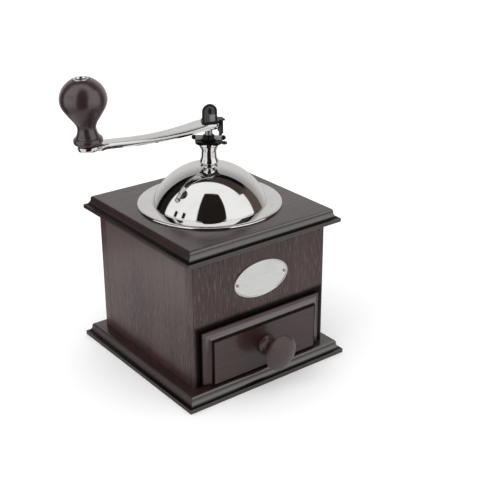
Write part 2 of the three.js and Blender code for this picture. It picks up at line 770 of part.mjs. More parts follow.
function addHousing() {
  const bore = outerBurrRadius + gap;
  const flangeBottom = housingTop - housingFlangeThickness;
  const wall = turnedRing([
    [bore, housingBottom], [housingRadius, housingBottom], [housingRadius, flangeBottom],
    [housingFlangeRadius, flangeBottom], [housingFlangeRadius, housingTop], [bore, housingTop],
  ], middleSides);
  const spokeReach = (bore + housingRadius) / 2;
  const spoke = block(0, spokeReach, -spokeWidth / 2, spokeWidth / 2, housingBottom, bridgeTop);
  const spokes = around(spokeCount, 1).map((_, i) => spun(spoke, i * 360 / spokeCount));
  const hub = rod(bridgeHubRadius, housingBottom, bridgeTop);
  const shaftHole = rod(shaftLowerRadius + gap, housingBottom - cutOverrun, bridgeTop + cutOverrun);
  const screwHoles = housingScrewPlaces.map(([x, y]) => moved(
    rod(housingScrewRadius + gap, flangeBottom - cutOverrun, housingTop + cutOverrun, smallSides), x, y, 0));
  piece('burr_housing', cut(joined([wall, hub, ...spokes]), shaftHole, ...screwHoles), castIron);
  const length = bowlWall + housingFlangeThickness + cutOverrun;
  housingScrewPlaces.forEach(([x, y], i) => {
    const body = screw(housingScrewRadius, housingScrewHeadRadius, housingScrewHeadHeight, length);
    piece(`housing_screw_${i + 1}`, moved(body, x, y, bowlFloor + gap), steel);
  });
}

function addBurrs() {
  const slope = (innerBurrBottomRadius - innerBurrTopRadius) / innerBurrHeight;
  const radiusAt = height => innerBurrBottomRadius - slope * (height - innerBurrBottom);
  const low = outerBurrBottom - cutOverrun;
  const high = outerBurrTop + cutOverrun;
  const mouth = flutedCone(radiusAt(low) + burrGap, radiusAt(high) + burrGap, low, high, fluteShare);
  piece('outer_burr', cut(rod(outerBurrRadius, outerBurrBottom, outerBurrTop), mouth), steel);
  const cone = flutedCone(
    innerBurrBottomRadius, innerBurrTopRadius, innerBurrBottom, innerBurrTop, -fluteShare);
  const bore = rod(shaftLowerRadius + gap, innerBurrBottom - cutOverrun, innerBurrTop + cutOverrun);
  piece('inner_burr', cut(cone, bore), steel, crank);
  const nut = hexNut(burrNutRadius, shaftLowerRadius + gap, burrNutBottom, burrNutBottom + burrNutHeight);
  piece('burr_nut', nut, steel, crank);
}

// Shaft and spring

function addShaft() {
  const collarLow = innerBurrTop + gap;
  const seatTop = springSeatHeight + collarHeight;
  const shoulder = armHubTop - armSkin - gap;
  piece('main_shaft', turned([
    [0, shaftBottom], [shaftLowerRadius, shaftBottom], [shaftLowerRadius, collarLow],
    [collarRadius, collarLow], [collarRadius, collarLow + collarHeight],
    [shaftLowerRadius, collarLow + collarHeight], [shaftLowerRadius, springSeatHeight],
    [collarRadius, springSeatHeight], [collarRadius, seatTop], [shaftUpperRadius, seatTop],
    [shaftUpperRadius, shoulder], [shaftSpigotRadius, shoulder],
    [shaftSpigotRadius, catchPlateBottom + crankNutHeight], [0, catchPlateBottom + crankNutHeight],
  ], middleSides), chrome, crank);
}

class Helix extends THREE.Curve {
  constructor(radius, low, high, turns) {
    super();
    Object.assign(this, { radius, low, high, turns });
  }

  getPoint(share, target = new THREE.Vector3()) {
    const turn = 2 * Math.PI * this.turns * share;
    return target.set(this.radius * Math.cos(turn), this.radius * Math.sin(turn),
      this.low + (this.high - this.low) * share);
  }
}

function addSpring() {
  const low = springSeatHeight + collarHeight + gap + springWireRadius;
  const high = domeNutBottom - gap - springWireRadius;
  const steps = springTurns * springStepsPerTurn;
  const wire = shapeOf(around(springSides, springWireRadius));
  const path = new Helix(springRadius, low, high, springTurns);
  const coil = new THREE.ExtrudeGeometry(wire, { steps, bevelEnabled: false, extrudePath: path });
  piece('shaft_spring', solidOf(coil), steel, crank);
}

// Adjuster

function addAdjuster() {
  const band = block(-thrustPlateRadius, thrustPlateRadius, -thrustPlateHalfWidth, thrustPlateHalfWidth,
    thrustPlateBottom, thrustPlateBottom + thrustPlateThickness);
  const plate = rod(thrustPlateRadius, thrustPlateBottom, thrustPlateBottom + thrustPlateThickness)
    .intersect(spun(band, wingAngle));
  const plateTop = thrustPlateBottom + thrustPlateThickness;
  const lug = moved(rod(thrustLugRadius, thrustPlateBottom, plateTop, smallSides), thrustLugReach, 0, 0);
  const arm = block(0, thrustLugReach, -thrustLugRadius, thrustLugRadius,
    thrustPlateBottom, thrustPlateBottom + thrustPlateThickness);
  const bore = rod(bushBore, thrustPlateBottom - cutOverrun, nutTop + cutOverrun);
  piece('thrust_plate', cut(joined([plate, spun(arm.add(lug), thrustLugAngle)]), bore), blackSteel, crank);

  const wingLow = nutBottom + nutFlangeHeight * coreShare;
  const wing = block(-wingReach, wingReach, -wingThickness / 2, wingThickness / 2, wingLow, nutTop);
  const ballHeight = nutBottom + wingBallRadius - gap / 2;
  const ball = side => moved(solidOf(new THREE.SphereGeometry(wingBallRadius, smallSides, smallSides / 2)),
    side * wingReach, 0, ballHeight);
  const hub = turned([
    [0, nutBottom], [nutFlangeRadius, nutBottom], [nutFlangeRadius, nutBottom + nutFlangeHeight],
    [nutHubRadius, nutBottom + nutFlangeHeight * 2], [nutHubRadius, nutTop], [0, nutTop],
  ], middleSides);
  piece('adjuster_nut', cut(joined([hub, spun(joined([wing, ball(-1), ball(1)]), wingAngle)]), bore),
    blackSteel, crank);
}

// Crank: everything here lies along +X and is turned with the group

const crank = new THREE.Group();
crank.rotation.z = degrees(crankAngle);
grinder.add(crank);

// The top of the arm seen from the side: level at the shaft, sagging, then falling gently at the pad.
function armTopCurve() {
  const fall = armHubTop - armLowTop;
  const padSlope = Math.tan(degrees(knobLeanAngle));
  const padTopAt = x => armPadTop - padSlope * (x - armReach);
  const end = armReach + armPadRadius + cutOverrun;
  const padStart = armReach - armPadRadius;
  const waist = { near: 0.1, upper: 0.2, middle: 0.34, lower: 0.48, low: 0.63, rise: 0.78 };
  const shape = [
    [-armEndRadius - cutOverrun, armHubTop], [armReach * 0.03, armHubTop],
    [armReach * waist.near, armHubTop - fall * 0.16], [armReach * waist.upper, armHubTop - fall * 0.44],
    [armReach * waist.middle, armHubTop - fall * 0.74], [armReach * waist.lower, armHubTop - fall * 0.93],
    [armReach * waist.low, armLowTop], [armReach * waist.rise, armLowTop + fall * 0.03],
    [padStart - armPadRadius * 0.4, armLowTop + fall * 0.04], [padStart, padTopAt(padStart)],
    [end, padTopAt(end)],
  ];
  return shape;
}

// The arm seen from above, drawn in by an inset.
function armPlan(inset) {
  const neckX = armReach - armPadRadius + armPadOverlap - inset;
  const hub = armHubHalfWidth - inset;
  const tip = armTipHalfWidth - inset;
  const shape = new THREE.Shape();
  shape.moveTo(0, -hub);
  shape.bezierCurveTo(armReach * 0.2, -hub, armReach * 0.3, -tip, armReach * 0.7, -tip);
  shape.lineTo(neckX, -tip);
  shape.lineTo(neckX, tip);
  shape.lineTo(armReach * 0.7, tip);
  shape.bezierCurveTo(armReach * 0.3, tip, armReach * 0.2, hub, 0, hub);
  shape.absellipse(0, 0, armEndRadius - inset, hub, Math.PI / 2, Math.PI * 1.5);
  return shape;
}

// A band that follows the arm's top curve between two depths below it.
function armBand(topDepth, lowDepth, halfWidth) {
  const top = armTopCurve();
  const upper = top.map(([x, z]) => [x, z - topDepth]);
  const lower = top.map(([x, z]) => [x, z - lowDepth]).reverse();
  return across([...upper, ...lower], -halfWidth, halfWidth);
}

// Places a solid on the knob's leaning axis, whose foot is the middle of the pad's top.
const onKnobAxis = solid => moved(solid.rotate([0, knobLeanAngle, 0]), armReach, 0, armPadTop);

function addArm() {
  const wide = armHubHalfWidth + cutOverrun;
  const low = armLowTop - armDepth - cutOverrun * 2;
  const high = armHubTop + cutOverrun;
  const steps = 8;
  const strap = upright(armPlan(0), low, high, steps).intersect(armBand(0, armDepth, wide));
  const inside = armBand(armSkin, armDepth + cutOverrun, wide);
  const hollow = upright(armPlan(armSkin), low, high, steps).intersect(inside);
  const padPlan = moved(rod(armPadRadius, low, high), armReach, 0, 0);
  const padWell = moved(rod(armPadWellRadius, low, high), armReach, 0, 0);
  const padHollow = padWell.intersect(armBand(armPadThickness, armPadSkirt + cutOverrun, wide));
  const pad = padPlan.intersect(armBand(0, armPadSkirt, wide));
  const shaftHole = rod(shaftSpigotRadius + gap, low, high);
  const pinHole = onKnobAxis(rod(knobBore, -armDepth * 2, armDepth * 2));
  const slotHalf = catchHookHalfWidth + gap;
  const slot = block(catchFront - catchThickness - catchSlotPlay, catchFront + catchSlotPlay,
    -slotHalf, slotHalf, low, high);
  const arm = strap.subtract(hollow).add(pad).subtract(padHollow);
  piece('crank_arm', cut(arm, shaftHole, pinHole, slot), chrome, crank);
  const nutLow = catchPlateBottom;
  const nutHigh = nutLow + crankNutHeight - gap;
  piece('crank_nut', hexNut(crankNutRadius, shaftSpigotRadius + gap, nutLow, nutHigh), blackSteel, crank);
}

function addCatch() {
  const inner = -catchStrapReach + catchStrapThickness;
  const plan = new THREE.Shape();
  plan.moveTo(catchFront - catchCornerRun, -catchPlateHalfWidth);
  plan.lineTo(catchFront, -catchCornerStart);
  plan.lineTo(catchFront, catchPlateHalfWidth);
  plan.lineTo(0, catchPlateHalfWidth);
  plan.absellipse(0, 0, -inner - gap, catchPlateHalfWidth, Math.PI / 2, Math.PI * 1.5);
  plan.lineTo(catchFront - catchCornerRun, -catchPlateHalfWidth);
  const plate = upright(plan, catchPlateBottom, catchPlateTop, 8);
  const nutRoom = crankNutRadius + catchNutPlay;
  const nutHole = rod(nutRoom, catchPlateBottom - cutOverrun, catchPlateTop + cutOverrun);
  const strapTop = block(-catchStrapReach, catchThickness * coreShare - catchPlateHalfWidth,
    -catchStrapHalfWidth, catchStrapHalfWidth, catchPlateBottom, catchPlateTop);
  const strap = block(-catchStrapReach, inner, -catchStrapHalfWidth, catchStrapHalfWidth,
    catchShoulderHeight, catchPlateTop);
  const tongue = block(-catchStrapReach, inner, -catchTongueHalfWidth, catchTongueHalfWidth,
    catchTongueBottom, catchPlateTop);
  const lip = block(-catchStrapReach - catchLipReach, inner, -catchLipHalfWidth, catchLipHalfWidth,
    catchPlateBottom, catchPlateTop);
  const hookLow = armHubTop - armSkin - catchHookDrop;
  const hookX = catchFront - catchThickness;
  const tail = block(hookX, catchFront, -catchHookHalfWidth, catchHookHalfWidth, hookLow, catchPlateTop);
  const hook = block(hookX, hookX + catchHookReach, -catchHookHalfWidth, catchHookHalfWidth,
    hookLow, hookLow + catchHookThickness);
  const body = joined([plate.subtract(nutHole), strapTop.subtract(nutHole), strap, tongue, lip, tail, hook]);
  piece('catch_lever', body.add(catchTab()), blackSteel, crank);
}

// The upright tab along one edge of the plate: a raised rim round a recess, with a blind oval hole.
function catchTab() {
  const top = catchPlateTop + catchTabHeight;
  const shoulder = top - catchTabHalfWidth;
  const archOf = (half, low) => {
    const outline = new THREE.Shape();
    outline.moveTo(-half, low);
    outline.lineTo(half, low);
    outline.lineTo(half, shoulder);
    outline.absarc(0, shoulder, half, 0, Math.PI);
    outline.lineTo(-half, low);
    return outline;
  };
  const oval = new THREE.Shape();
  oval.absellipse(0, top - catchHoleDrop, catchHoleHalfWidth, catchHoleHalfHeight, 0, Math.PI * 2);
  const face = catchPlateHalfWidth;
  const recessLow = shoulder - catchTabHalfWidth;
  const tab = across(archOf(catchTabHalfWidth, catchPlateBottom), face - catchThickness, face, 8);
  const recess = across(archOf(catchTabHalfWidth - catchRimWidth, recessLow),
    face - catchRecessDepth, face + cutOverrun, 8);
  const hole = across(oval, face - catchHoleDepth, face + cutOverrun, 6);
  return moved(cut(tab, recess, hole), catchTabCentre, 0, 0);
}

// Crank knob

// Outline of the pear-shaped crank knob as (radius, height above the pad), foot first.
// Each run of pairs gives the share of the way between two radii and between two heights.
function knobOutline() {
  const flangeStart = knobFlangeHeight / 2;
  const neckShares = [[0.68, 0.16], [0.33, 0.42], [0.085, 0.69]];
  const pearShares = [
    [0, 0], [0.057, 0.12], [0.179, 0.22], [0.326, 0.33], [0.476, 0.44], [0.62, 0.55], [0.797, 0.69],
    [0.939, 0.86], [1, 1],
  ];
  const crownShares = [[0.986, 0.2], [0.94, 0.41], [0.826, 0.62], [0.633, 0.83], [0.508, 0.93]];
  const neckRun = knobWaistHeight - knobFlangeHeight;
  const pearRun = knobWidestHeight - knobWaistHeight;
  const crownRun = knobTop - knobWidestHeight;
  return [
    [knobFootRadius, gap], [(knobFootRadius + knobFlangeRadius) / 2, flangeStart / 2],
    [knobFlangeRadius, flangeStart], [knobFlangeRadius, knobFlangeHeight],
    ...neckShares.map(([part, height]) => [
      knobWaistRadius + (knobFlangeRadius - knobWaistRadius) * part, knobFlangeHeight + neckRun * height]),
    ...pearShares.map(([part, height]) => [
      knobWaistRadius + (knobRadius - knobWaistRadius) * part, knobWaistHeight + pearRun * height]),
    ...crownShares.map(([part, height]) => [knobRadius * part, knobWidestHeight + crownRun * height]),
    [capRadius + capLand, knobTop],
  ];
}

function addKnob() {
  const socketRadius = capRadius + gap;
  const socket = rod(socketRadius, knobTop - capDepth - gap, knobTop + cutOverrun);
  const bore = rod(knobBore, -cutOverrun, knobTop);
  const body = turned([[0, gap], ...knobOutline(), [0, knobTop]], middleSides);
  piece('crank_knob', onKnobAxis(cut(body, bore, socket)), stainedWood, crank);

  const capTop = knobTop + capRimHeight;
  piece('knob_cap', onKnobAxis(turned([
    [0, knobTop - capDepth], [capRadius, knobTop - capDepth], [capRadius, capTop - capRimHeight / 2],
    [capRadius - capRimHeight, capTop], [capRecessRadius, capTop - capRimHeight / 2],
    [capRecessRadius * 0.8, capTop - capRecessDepth], [0, capTop - capRecessDepth],
  ], middleSides)), chrome, crank);

  const headTop = -armPadThickness - gap;
  const length = knobTop - capDepth - gap * 2 - headTop;
  const pin = screw(pinRadius, pinHeadRadius, pinHeadHeight, length).rotate([180, 0, 0]);
  piece('knob_pin', onKnobAxis(moved(pin, 0, 0, headTop)), chrome, crank);
}

addBoards();
addPanels();
addBaseScrews();
addPlaque();
addDrawer();
addDrawerKnob();
addBowl();
addFlange();
addDome();
addShutter();
addNeck();
addHousing();
addBurrs();
addShaft();
addSpring();
addAdjuster();
addArm();
addCatch();
addKnob();

export default grinder;
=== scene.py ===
"""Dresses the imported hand-cranked coffee grinder and lights it in a small studio.

Sizes are millimetres until a mesh is finished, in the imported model's own frame:
+Z is up, the drawer faces -Y and the origin is under the middle of the base board.
"""
import logging
import math
from dataclasses import dataclass, field, replace
from enum import Enum
from typing import Callable, Iterable, Sequence

import bmesh
import bpy
from mathutils import Matrix, Vector
from mathutils.geometry import interpolate_bezier


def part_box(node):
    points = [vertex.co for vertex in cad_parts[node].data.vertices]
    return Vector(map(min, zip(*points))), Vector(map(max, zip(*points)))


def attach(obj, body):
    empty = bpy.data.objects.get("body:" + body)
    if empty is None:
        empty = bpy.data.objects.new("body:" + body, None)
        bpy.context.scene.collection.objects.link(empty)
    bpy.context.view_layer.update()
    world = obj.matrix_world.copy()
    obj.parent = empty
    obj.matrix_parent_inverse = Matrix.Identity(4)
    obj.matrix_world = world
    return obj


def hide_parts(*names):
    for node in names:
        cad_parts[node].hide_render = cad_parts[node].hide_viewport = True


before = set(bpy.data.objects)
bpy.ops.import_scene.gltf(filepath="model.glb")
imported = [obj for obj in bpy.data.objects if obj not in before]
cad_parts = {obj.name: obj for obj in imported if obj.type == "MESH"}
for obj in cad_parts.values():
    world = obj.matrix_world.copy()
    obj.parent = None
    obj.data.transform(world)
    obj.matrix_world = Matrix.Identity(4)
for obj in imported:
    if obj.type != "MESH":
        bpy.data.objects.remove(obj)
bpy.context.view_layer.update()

Pair = tuple[float, float]
Triple = tuple[float, float, float]
Colour = Triple
Outline = list[Pair]
Profile = tuple[Pair, ...]
Node = bpy.types.Node
Socket = bpy.types.NodeSocket

MM = 0.001
GAP = 0.3
WELD = 0.0005
DRILL_SPARE = 2.0
CLEAR_EDGE = 40.0
UNMOVED: Triple = (0.0, 0.0, 0.0)
UNSCALED: Triple = (1.0, 1.0, 1.0)
UP = Vector((0.0, 0.0, 1.0))

log = logging.getLogger("grinder")


class Grain(Enum):
    """The way the grain of a wooden piece runs, as the turn that brings it upright."""

    UPRIGHT = (0.0, 0.0, 0.0)
    SIDEWAYS = (0.0, math.pi / 2, 0.0)
    DEEP = (math.pi / 2, 0.0, 0.0)


class Body(Enum):
    """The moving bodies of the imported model."""

    CASE = "case"
    DRAWER = "drawer"
    SHUTTER = "port_shutter"
    HEAD = "turning_head"
    ADJUSTER = "adjuster"
    CRANK = "crank"
    CATCH = "catch"
    HANDLE = "handle"


def flowing(points: Sequence[Pair], steps: int = 6) -> Outline:
    """Draws a smooth outline through a few points.

    Args:
        points: the points that the outline passes through, in order.
        steps: how many short lines each span becomes.

    Returns:
        The points of the smooth outline.
    """
    knots = [Vector((x, y, 0.0)) for x, y in points]
    ends = [knots[0], *knots, knots[-1]]
    smooth: Outline = [points[0]]
    for before, start, end, after in zip(ends, ends[1:], ends[2:], ends[3:]):
        leave = start + (end - before) / 6
        arrive = end - (after - start) / 6
        drawn = interpolate_bezier(start, leave, arrive, end, steps + 1)
        smooth.extend((place.x, place.y) for place in drawn[1:])
    return smooth


def arc(radius: float, centre: float, start: float, end: float, steps: int) -> Outline:
    """Walks along an arc of a ball's outline.

    Args:
        radius: radius of the ball.
        centre: height of its centre.
        start: first angle from straight up, in degrees.
        end: last angle from straight up, in degrees.
        steps: number of short lines.

    Returns:
        Points as (radius, height).
    """
    turns = [math.radians(start + (end - start) * i / steps) for i in range(steps + 1)]
    return [(radius * math.sin(turn), centre + radius * math.cos(turn)) for turn in turns]


def scaled(line: Iterable[Pair], across: float = 1.0, up: float = 1.0, base: float = 0.0) -> Outline:
    """Brings a line of shares to its real size.

    Args:
        line: points as (share of across, share of up).
        across: the width that the first numbers are shares of.
        up: the height that the second numbers are shares of.
        base: height of the line's foot.

    Returns:
        Points as (radius, height).
    """
    return [(across * x, base + up * y) for x, y in line]


def shifted(line: Iterable[Pair], across: float, up: float) -> Outline:
    """Moves a line.

    Args:
        line: the points.
        across: how far they move outwards.
        up: how far they move up.

    Returns:
        The moved points.
    """
    return [(across + x, up + y) for x, y in line]


def angles(end: float, steps: int) -> list[float]:
    """Lists the angles from zero to an end, in radians.

    Args:
        end: the last angle.
        steps: number of equal steps.

    Returns:
        The angles, both ends among them.
    """
    return [end * i / steps for i in range(steps + 1)]


def picked(kind: type, geometry: Iterable[object]) -> list:
    """Picks the vertices, edges or faces out of what an operator hands back.

    Args:
        kind: the type that is wanted.
        geometry: the operator's result.

    Returns:
        The items of that type.
    """
    return [item for item in geometry if isinstance(item, kind)]


class Workpiece:
    """A mesh in the making, in millimetres, that is cut, joined, eased and then finished."""

    def __init__(self) -> None:
        """Starts with nothing on the bench."""
        self.bm = bmesh.new()

    @classmethod
    def spun(cls, outline: Iterable[Pair], sides: int, ring: bool = False,
             start: float = 0.0) -> "Workpiece":
        """Spins an outline about the upright axis and leaves its faces as they come.

        Args:
            outline: points as (radius, height), along the surface.
            sides: number of facets round the axis.
            ring: whether the last point joins the first, as on a ring.
            start: angle of the first facet's edge, in degrees.

        Returns:
            The spun skin.
        """
        piece = cls()
        bm = piece.bm
        corners = [bm.verts.new((radius, 0.0, height)) for radius, height in outline]
        pairs = list(zip(corners, corners[1:]))
        if ring:
            pairs.append((corners[-1], corners[0]))
        for pair in pairs:
            bm.edges.new(pair)
        bmesh.ops.rotate(bm, verts=bm.verts, matrix=Matrix.Rotation(math.radians(start), 3, "Z"))
        bmesh.ops.spin(bm, geom=bm.verts[:] + bm.edges[:], cent=UNMOVED, axis=UP, angle=math.tau,
                       steps=sides, use_merge=True, use_duplicate=False)
        return piece

    @classmethod
    def turned(cls, outline: Iterable[Pair], sides: int = 96, ring: bool = False) -> "Workpiece":
        """Turns a closed piece about the upright axis.

        Args:
            outline, sides, ring: as in spun.

        Returns:
            The turned piece.
        """
        return cls.spun(outline, sides, ring).cleaned()

    @classmethod
    def block(cls, low: Sequence[float], high: Sequence[float]) -> "Workpiece":
        """Saws a block between two corners, to the very number, so that flush faces join cleanly.

        Args:
            low: lowest corner.
            high: highest corner.

        Returns:
            The block.
        """
        piece = cls()
        bmesh.ops.create_cube(piece.bm, size=1.0)
        return piece.shaped(lambda co: Vector([b if side > 0 else a for a, b, side in zip(low, high, co)]))

    @classmethod
    def plate(cls, outline: Sequence[Pair], low: float, high: float) -> "Workpiece":
        """Raises a flat outline (x, y) from one height to another.

        Args:
            outline: corners of the outline.
            low: height of the underside.
            high: height of the top.

        Returns:
            The plate.
        """
        piece = cls()
        bm = piece.bm
        face = bm.faces.new([bm.verts.new((x, y, low)) for x, y in outline])
        raised = bmesh.ops.extrude_face_region(bm, geom=[face])["geom"]
        bmesh.ops.translate(bm, vec=(0, 0, high - low), verts=picked(bmesh.types.BMVert, raised))
        return piece.cleaned()

    @classmethod
    def rod(cls, radius: float, low: float, high: float, sides: int = 48) -> "Workpiece":
        """Turns a plain rod.

        Args:
            radius: its radius.
            low: height of its lower end.
            high: height of its upper end.
            sides: number of facets round it.

        Returns:
            The rod.
        """
        return cls.turned([(0, low), (radius, low), (radius, high), (0, high)], sides)

    @classmethod
    def drill(cls, radius: float, low: float, high: float, sides: int = 64) -> "Workpiece":
        """Turns a drill that reaches a little past both ends of its hole.

        Args:
            radius, low, high: radius and ends of the hole.
            sides: number of facets round it.

        Returns:
            The drill.
        """
        return cls.rod(radius, low - DRILL_SPARE, high + DRILL_SPARE, sides)

    def cleaned(self) -> "Workpiece":
        """Welds doubles and turns the faces outwards.

        Returns:
            This piece.
        """
        bmesh.ops.remove_doubles(self.bm, verts=self.bm.verts, dist=WELD)
        bmesh.ops.recalc_face_normals(self.bm, faces=self.bm.faces)
        return self

    def moved(self, x: float, y: float, z: float) -> "Workpiece":
        """Moves the whole piece."""
        bmesh.ops.translate(self.bm, vec=(x, y, z), verts=self.bm.verts)
        return self

    def tipped(self, angle: float, axis: str) -> "Workpiece":
        """Turns the whole piece; quarter turns are exact, so that flush faces join cleanly.

        Args:
            angle: how far, in degrees.
            axis: the axis through the origin that it turns about.

        Returns:
            This piece.
        """
        turn = Matrix.Rotation(math.radians(angle), 3, axis)
        if angle % 90 == 0:
            turn = Matrix([[round(value) for value in row] for row in turn])
        bmesh.ops.rotate(self.bm, verts=self.bm.verts, matrix=turn)
        return self

    def shaped(self, rule: Callable[[Vector], Vector]) -> "Workpiece":
        """Moves each corner by a rule.

        Args:
            rule: gives a corner's new place.

        Returns:
            This piece.
        """
        for vert in self.bm.verts:
            vert.co = rule(vert.co)
        return self

    def sliced(self, point: Sequence[float], normal: Sequence[float], keep: bool = True) -> "Workpiece":
        """Cuts along a plane.

        Args:
            point: a point on the plane.
            normal: the side that is thrown away when keep is False.
            keep: whether both sides stay, with a new row of edges between them.

        Returns:
            This piece.
        """
        geometry = self.bm.verts[:] + self.bm.edges[:] + self.bm.faces[:]
        made = bmesh.ops.bisect_plane(self.bm, geom=geometry, plane_co=point, plane_no=normal,
                                      clear_outer=not keep)
        if not keep:
            bmesh.ops.holes_fill(self.bm, edges=picked(bmesh.types.BMEdge, made["geom_cut"]))
            bmesh.ops.recalc_face_normals(self.bm, faces=self.bm.faces)
        return self

    def eased(self, width: float, segments: int = 2, least: float = 30.0,
              where: Callable[[Vector], bool] | None = None) -> "Workpiece":
        """Rounds the sharp edges.

        Args:
            width: width of the rounding.
            segments: facets across it.
            least: smallest turn between two faces that counts as sharp, in degrees.
            where: which edges are rounded, by the middle of the edge.

        Returns:
            This piece.
        """
        limit = math.radians(least)
        sharp = [edge for edge in self.bm.edges
                 if len(edge.link_faces) == 2 and edge.calc_face_angle(0.0) > limit]
        if where is not None:
            sharp = [edge for edge in sharp
                     if where((edge.verts[0].co + edge.verts[1].co) / 2)]
        bmesh.ops.bevel(self.bm, geom=sharp, offset=width, offset_type="OFFSET", segments=segments,
                        profile=0.5, affect="EDGES", clamp_overlap=True, material=-1)
        return self

    def _with(self, other: "Workpiece", how: str) -> "Workpiece":
        """Combines this piece with another by an exact boolean.

        Args:
            other: the other piece, which stays as it is.
            how: the boolean's operation.

        Returns:
            This piece.
        """
        mine, theirs = self._temporary("mine"), other._temporary("theirs")
        tool = mine.modifiers.new("tool", "BOOLEAN")
        tool.operation = how
        tool.solver = "EXACT"
        tool.object = theirs
        graph = bpy.context.evaluated_depsgraph_get()
        result = bpy.data.meshes.new_from_object(mine.evaluated_get(graph))
        self.bm.clear()
        self.bm.from_mesh(result)
        for made in (mine, theirs):
            mesh = made.data
            bpy.data.objects.remove(made)
            bpy.data.meshes.remove(mesh)
        bpy.data.meshes.remove(result)
        return self.cleaned()

    def _temporary(self, name: str) -> bpy.types.Object:
        """Puts a copy of the piece on the bench as an object.

        Args:
            name: name of the object.

        Returns:
            The object.
        """
        mesh = bpy.data.meshes.new(name)
        self.bm.to_mesh(mesh)
        made = bpy.data.objects.new(name, mesh)
        bpy.context.scene.collection.objects.link(made)
        return made

    def cut(self, *tools: "Workpiece") -> "Workpiece":
        """Cuts shapes away.

        Args:
            tools: the pieces that have these shapes.

        Returns:
            This piece.
        """
        for tool in tools:
            self._with(tool, "DIFFERENCE")
        return self

    def joined(self, *others: "Workpiece") -> "Workpiece":
        """Grows together with other pieces.

        Args:
            others: the other pieces.

        Returns:
            This piece.
        """
        for other in others:
            self._with(other, "UNION")
        return self

    def beside(self, *others: "Workpiece") -> "Workpiece":
        """Takes other pieces in as separate shells of this one.

        Args:
            others: the other pieces.

        Returns:
            This piece.
        """
        for other in others:
            mesh = bpy.data.meshes.new("shell")
            other.bm.to_mesh(mesh)
            self.bm.from_mesh(mesh)
            bpy.data.meshes.remove(mesh)
        return self

    def done(self, name: str, finish: "Finish", body: Body, slot: str,
             replaces: Sequence[str] = (), sharp: float = 40.0, weighted: bool = False,
             wall: float = 0.0) -> bpy.types.Object:
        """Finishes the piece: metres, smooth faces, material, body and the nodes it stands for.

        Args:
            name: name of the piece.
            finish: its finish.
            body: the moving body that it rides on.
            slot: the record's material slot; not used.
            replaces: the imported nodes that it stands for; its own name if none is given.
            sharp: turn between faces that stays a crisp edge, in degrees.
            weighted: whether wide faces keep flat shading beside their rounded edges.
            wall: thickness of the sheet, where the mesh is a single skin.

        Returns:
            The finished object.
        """
        bmesh.ops.scale(self.bm, vec=(MM, MM, MM), verts=self.bm.verts)
        mesh = bpy.data.meshes.new(name)
        self.bm.to_mesh(mesh)
        self.bm.free()
        mesh.shade_smooth()
        mesh.set_sharp_from_angle(angle=math.radians(sharp))
        mesh.materials.append(finish.material())
        nodes = tuple(replaces) or (name,)
        made = bpy.data.objects.new(name if name not in bpy.data.objects else name + "_shape", mesh)
        bpy.context.scene.collection.objects.link(made)
        if wall:
            skin = made.modifiers.new("wall", "SOLIDIFY")
            skin.thickness = wall * MM
            skin.offset = -1.0
            skin.use_even_offset = True
        if weighted:
            flat = made.modifiers.new("flat_faces", "WEIGHTED_NORMAL")
            flat.keep_sharp = True
            flat.weight = 80
        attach(made, body.value)
        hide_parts(*nodes)
        log.info("%s stands for %s on %s, %d faces", made.name, ", ".join(nodes), body.value,
                 len(mesh.polygons))
        return made


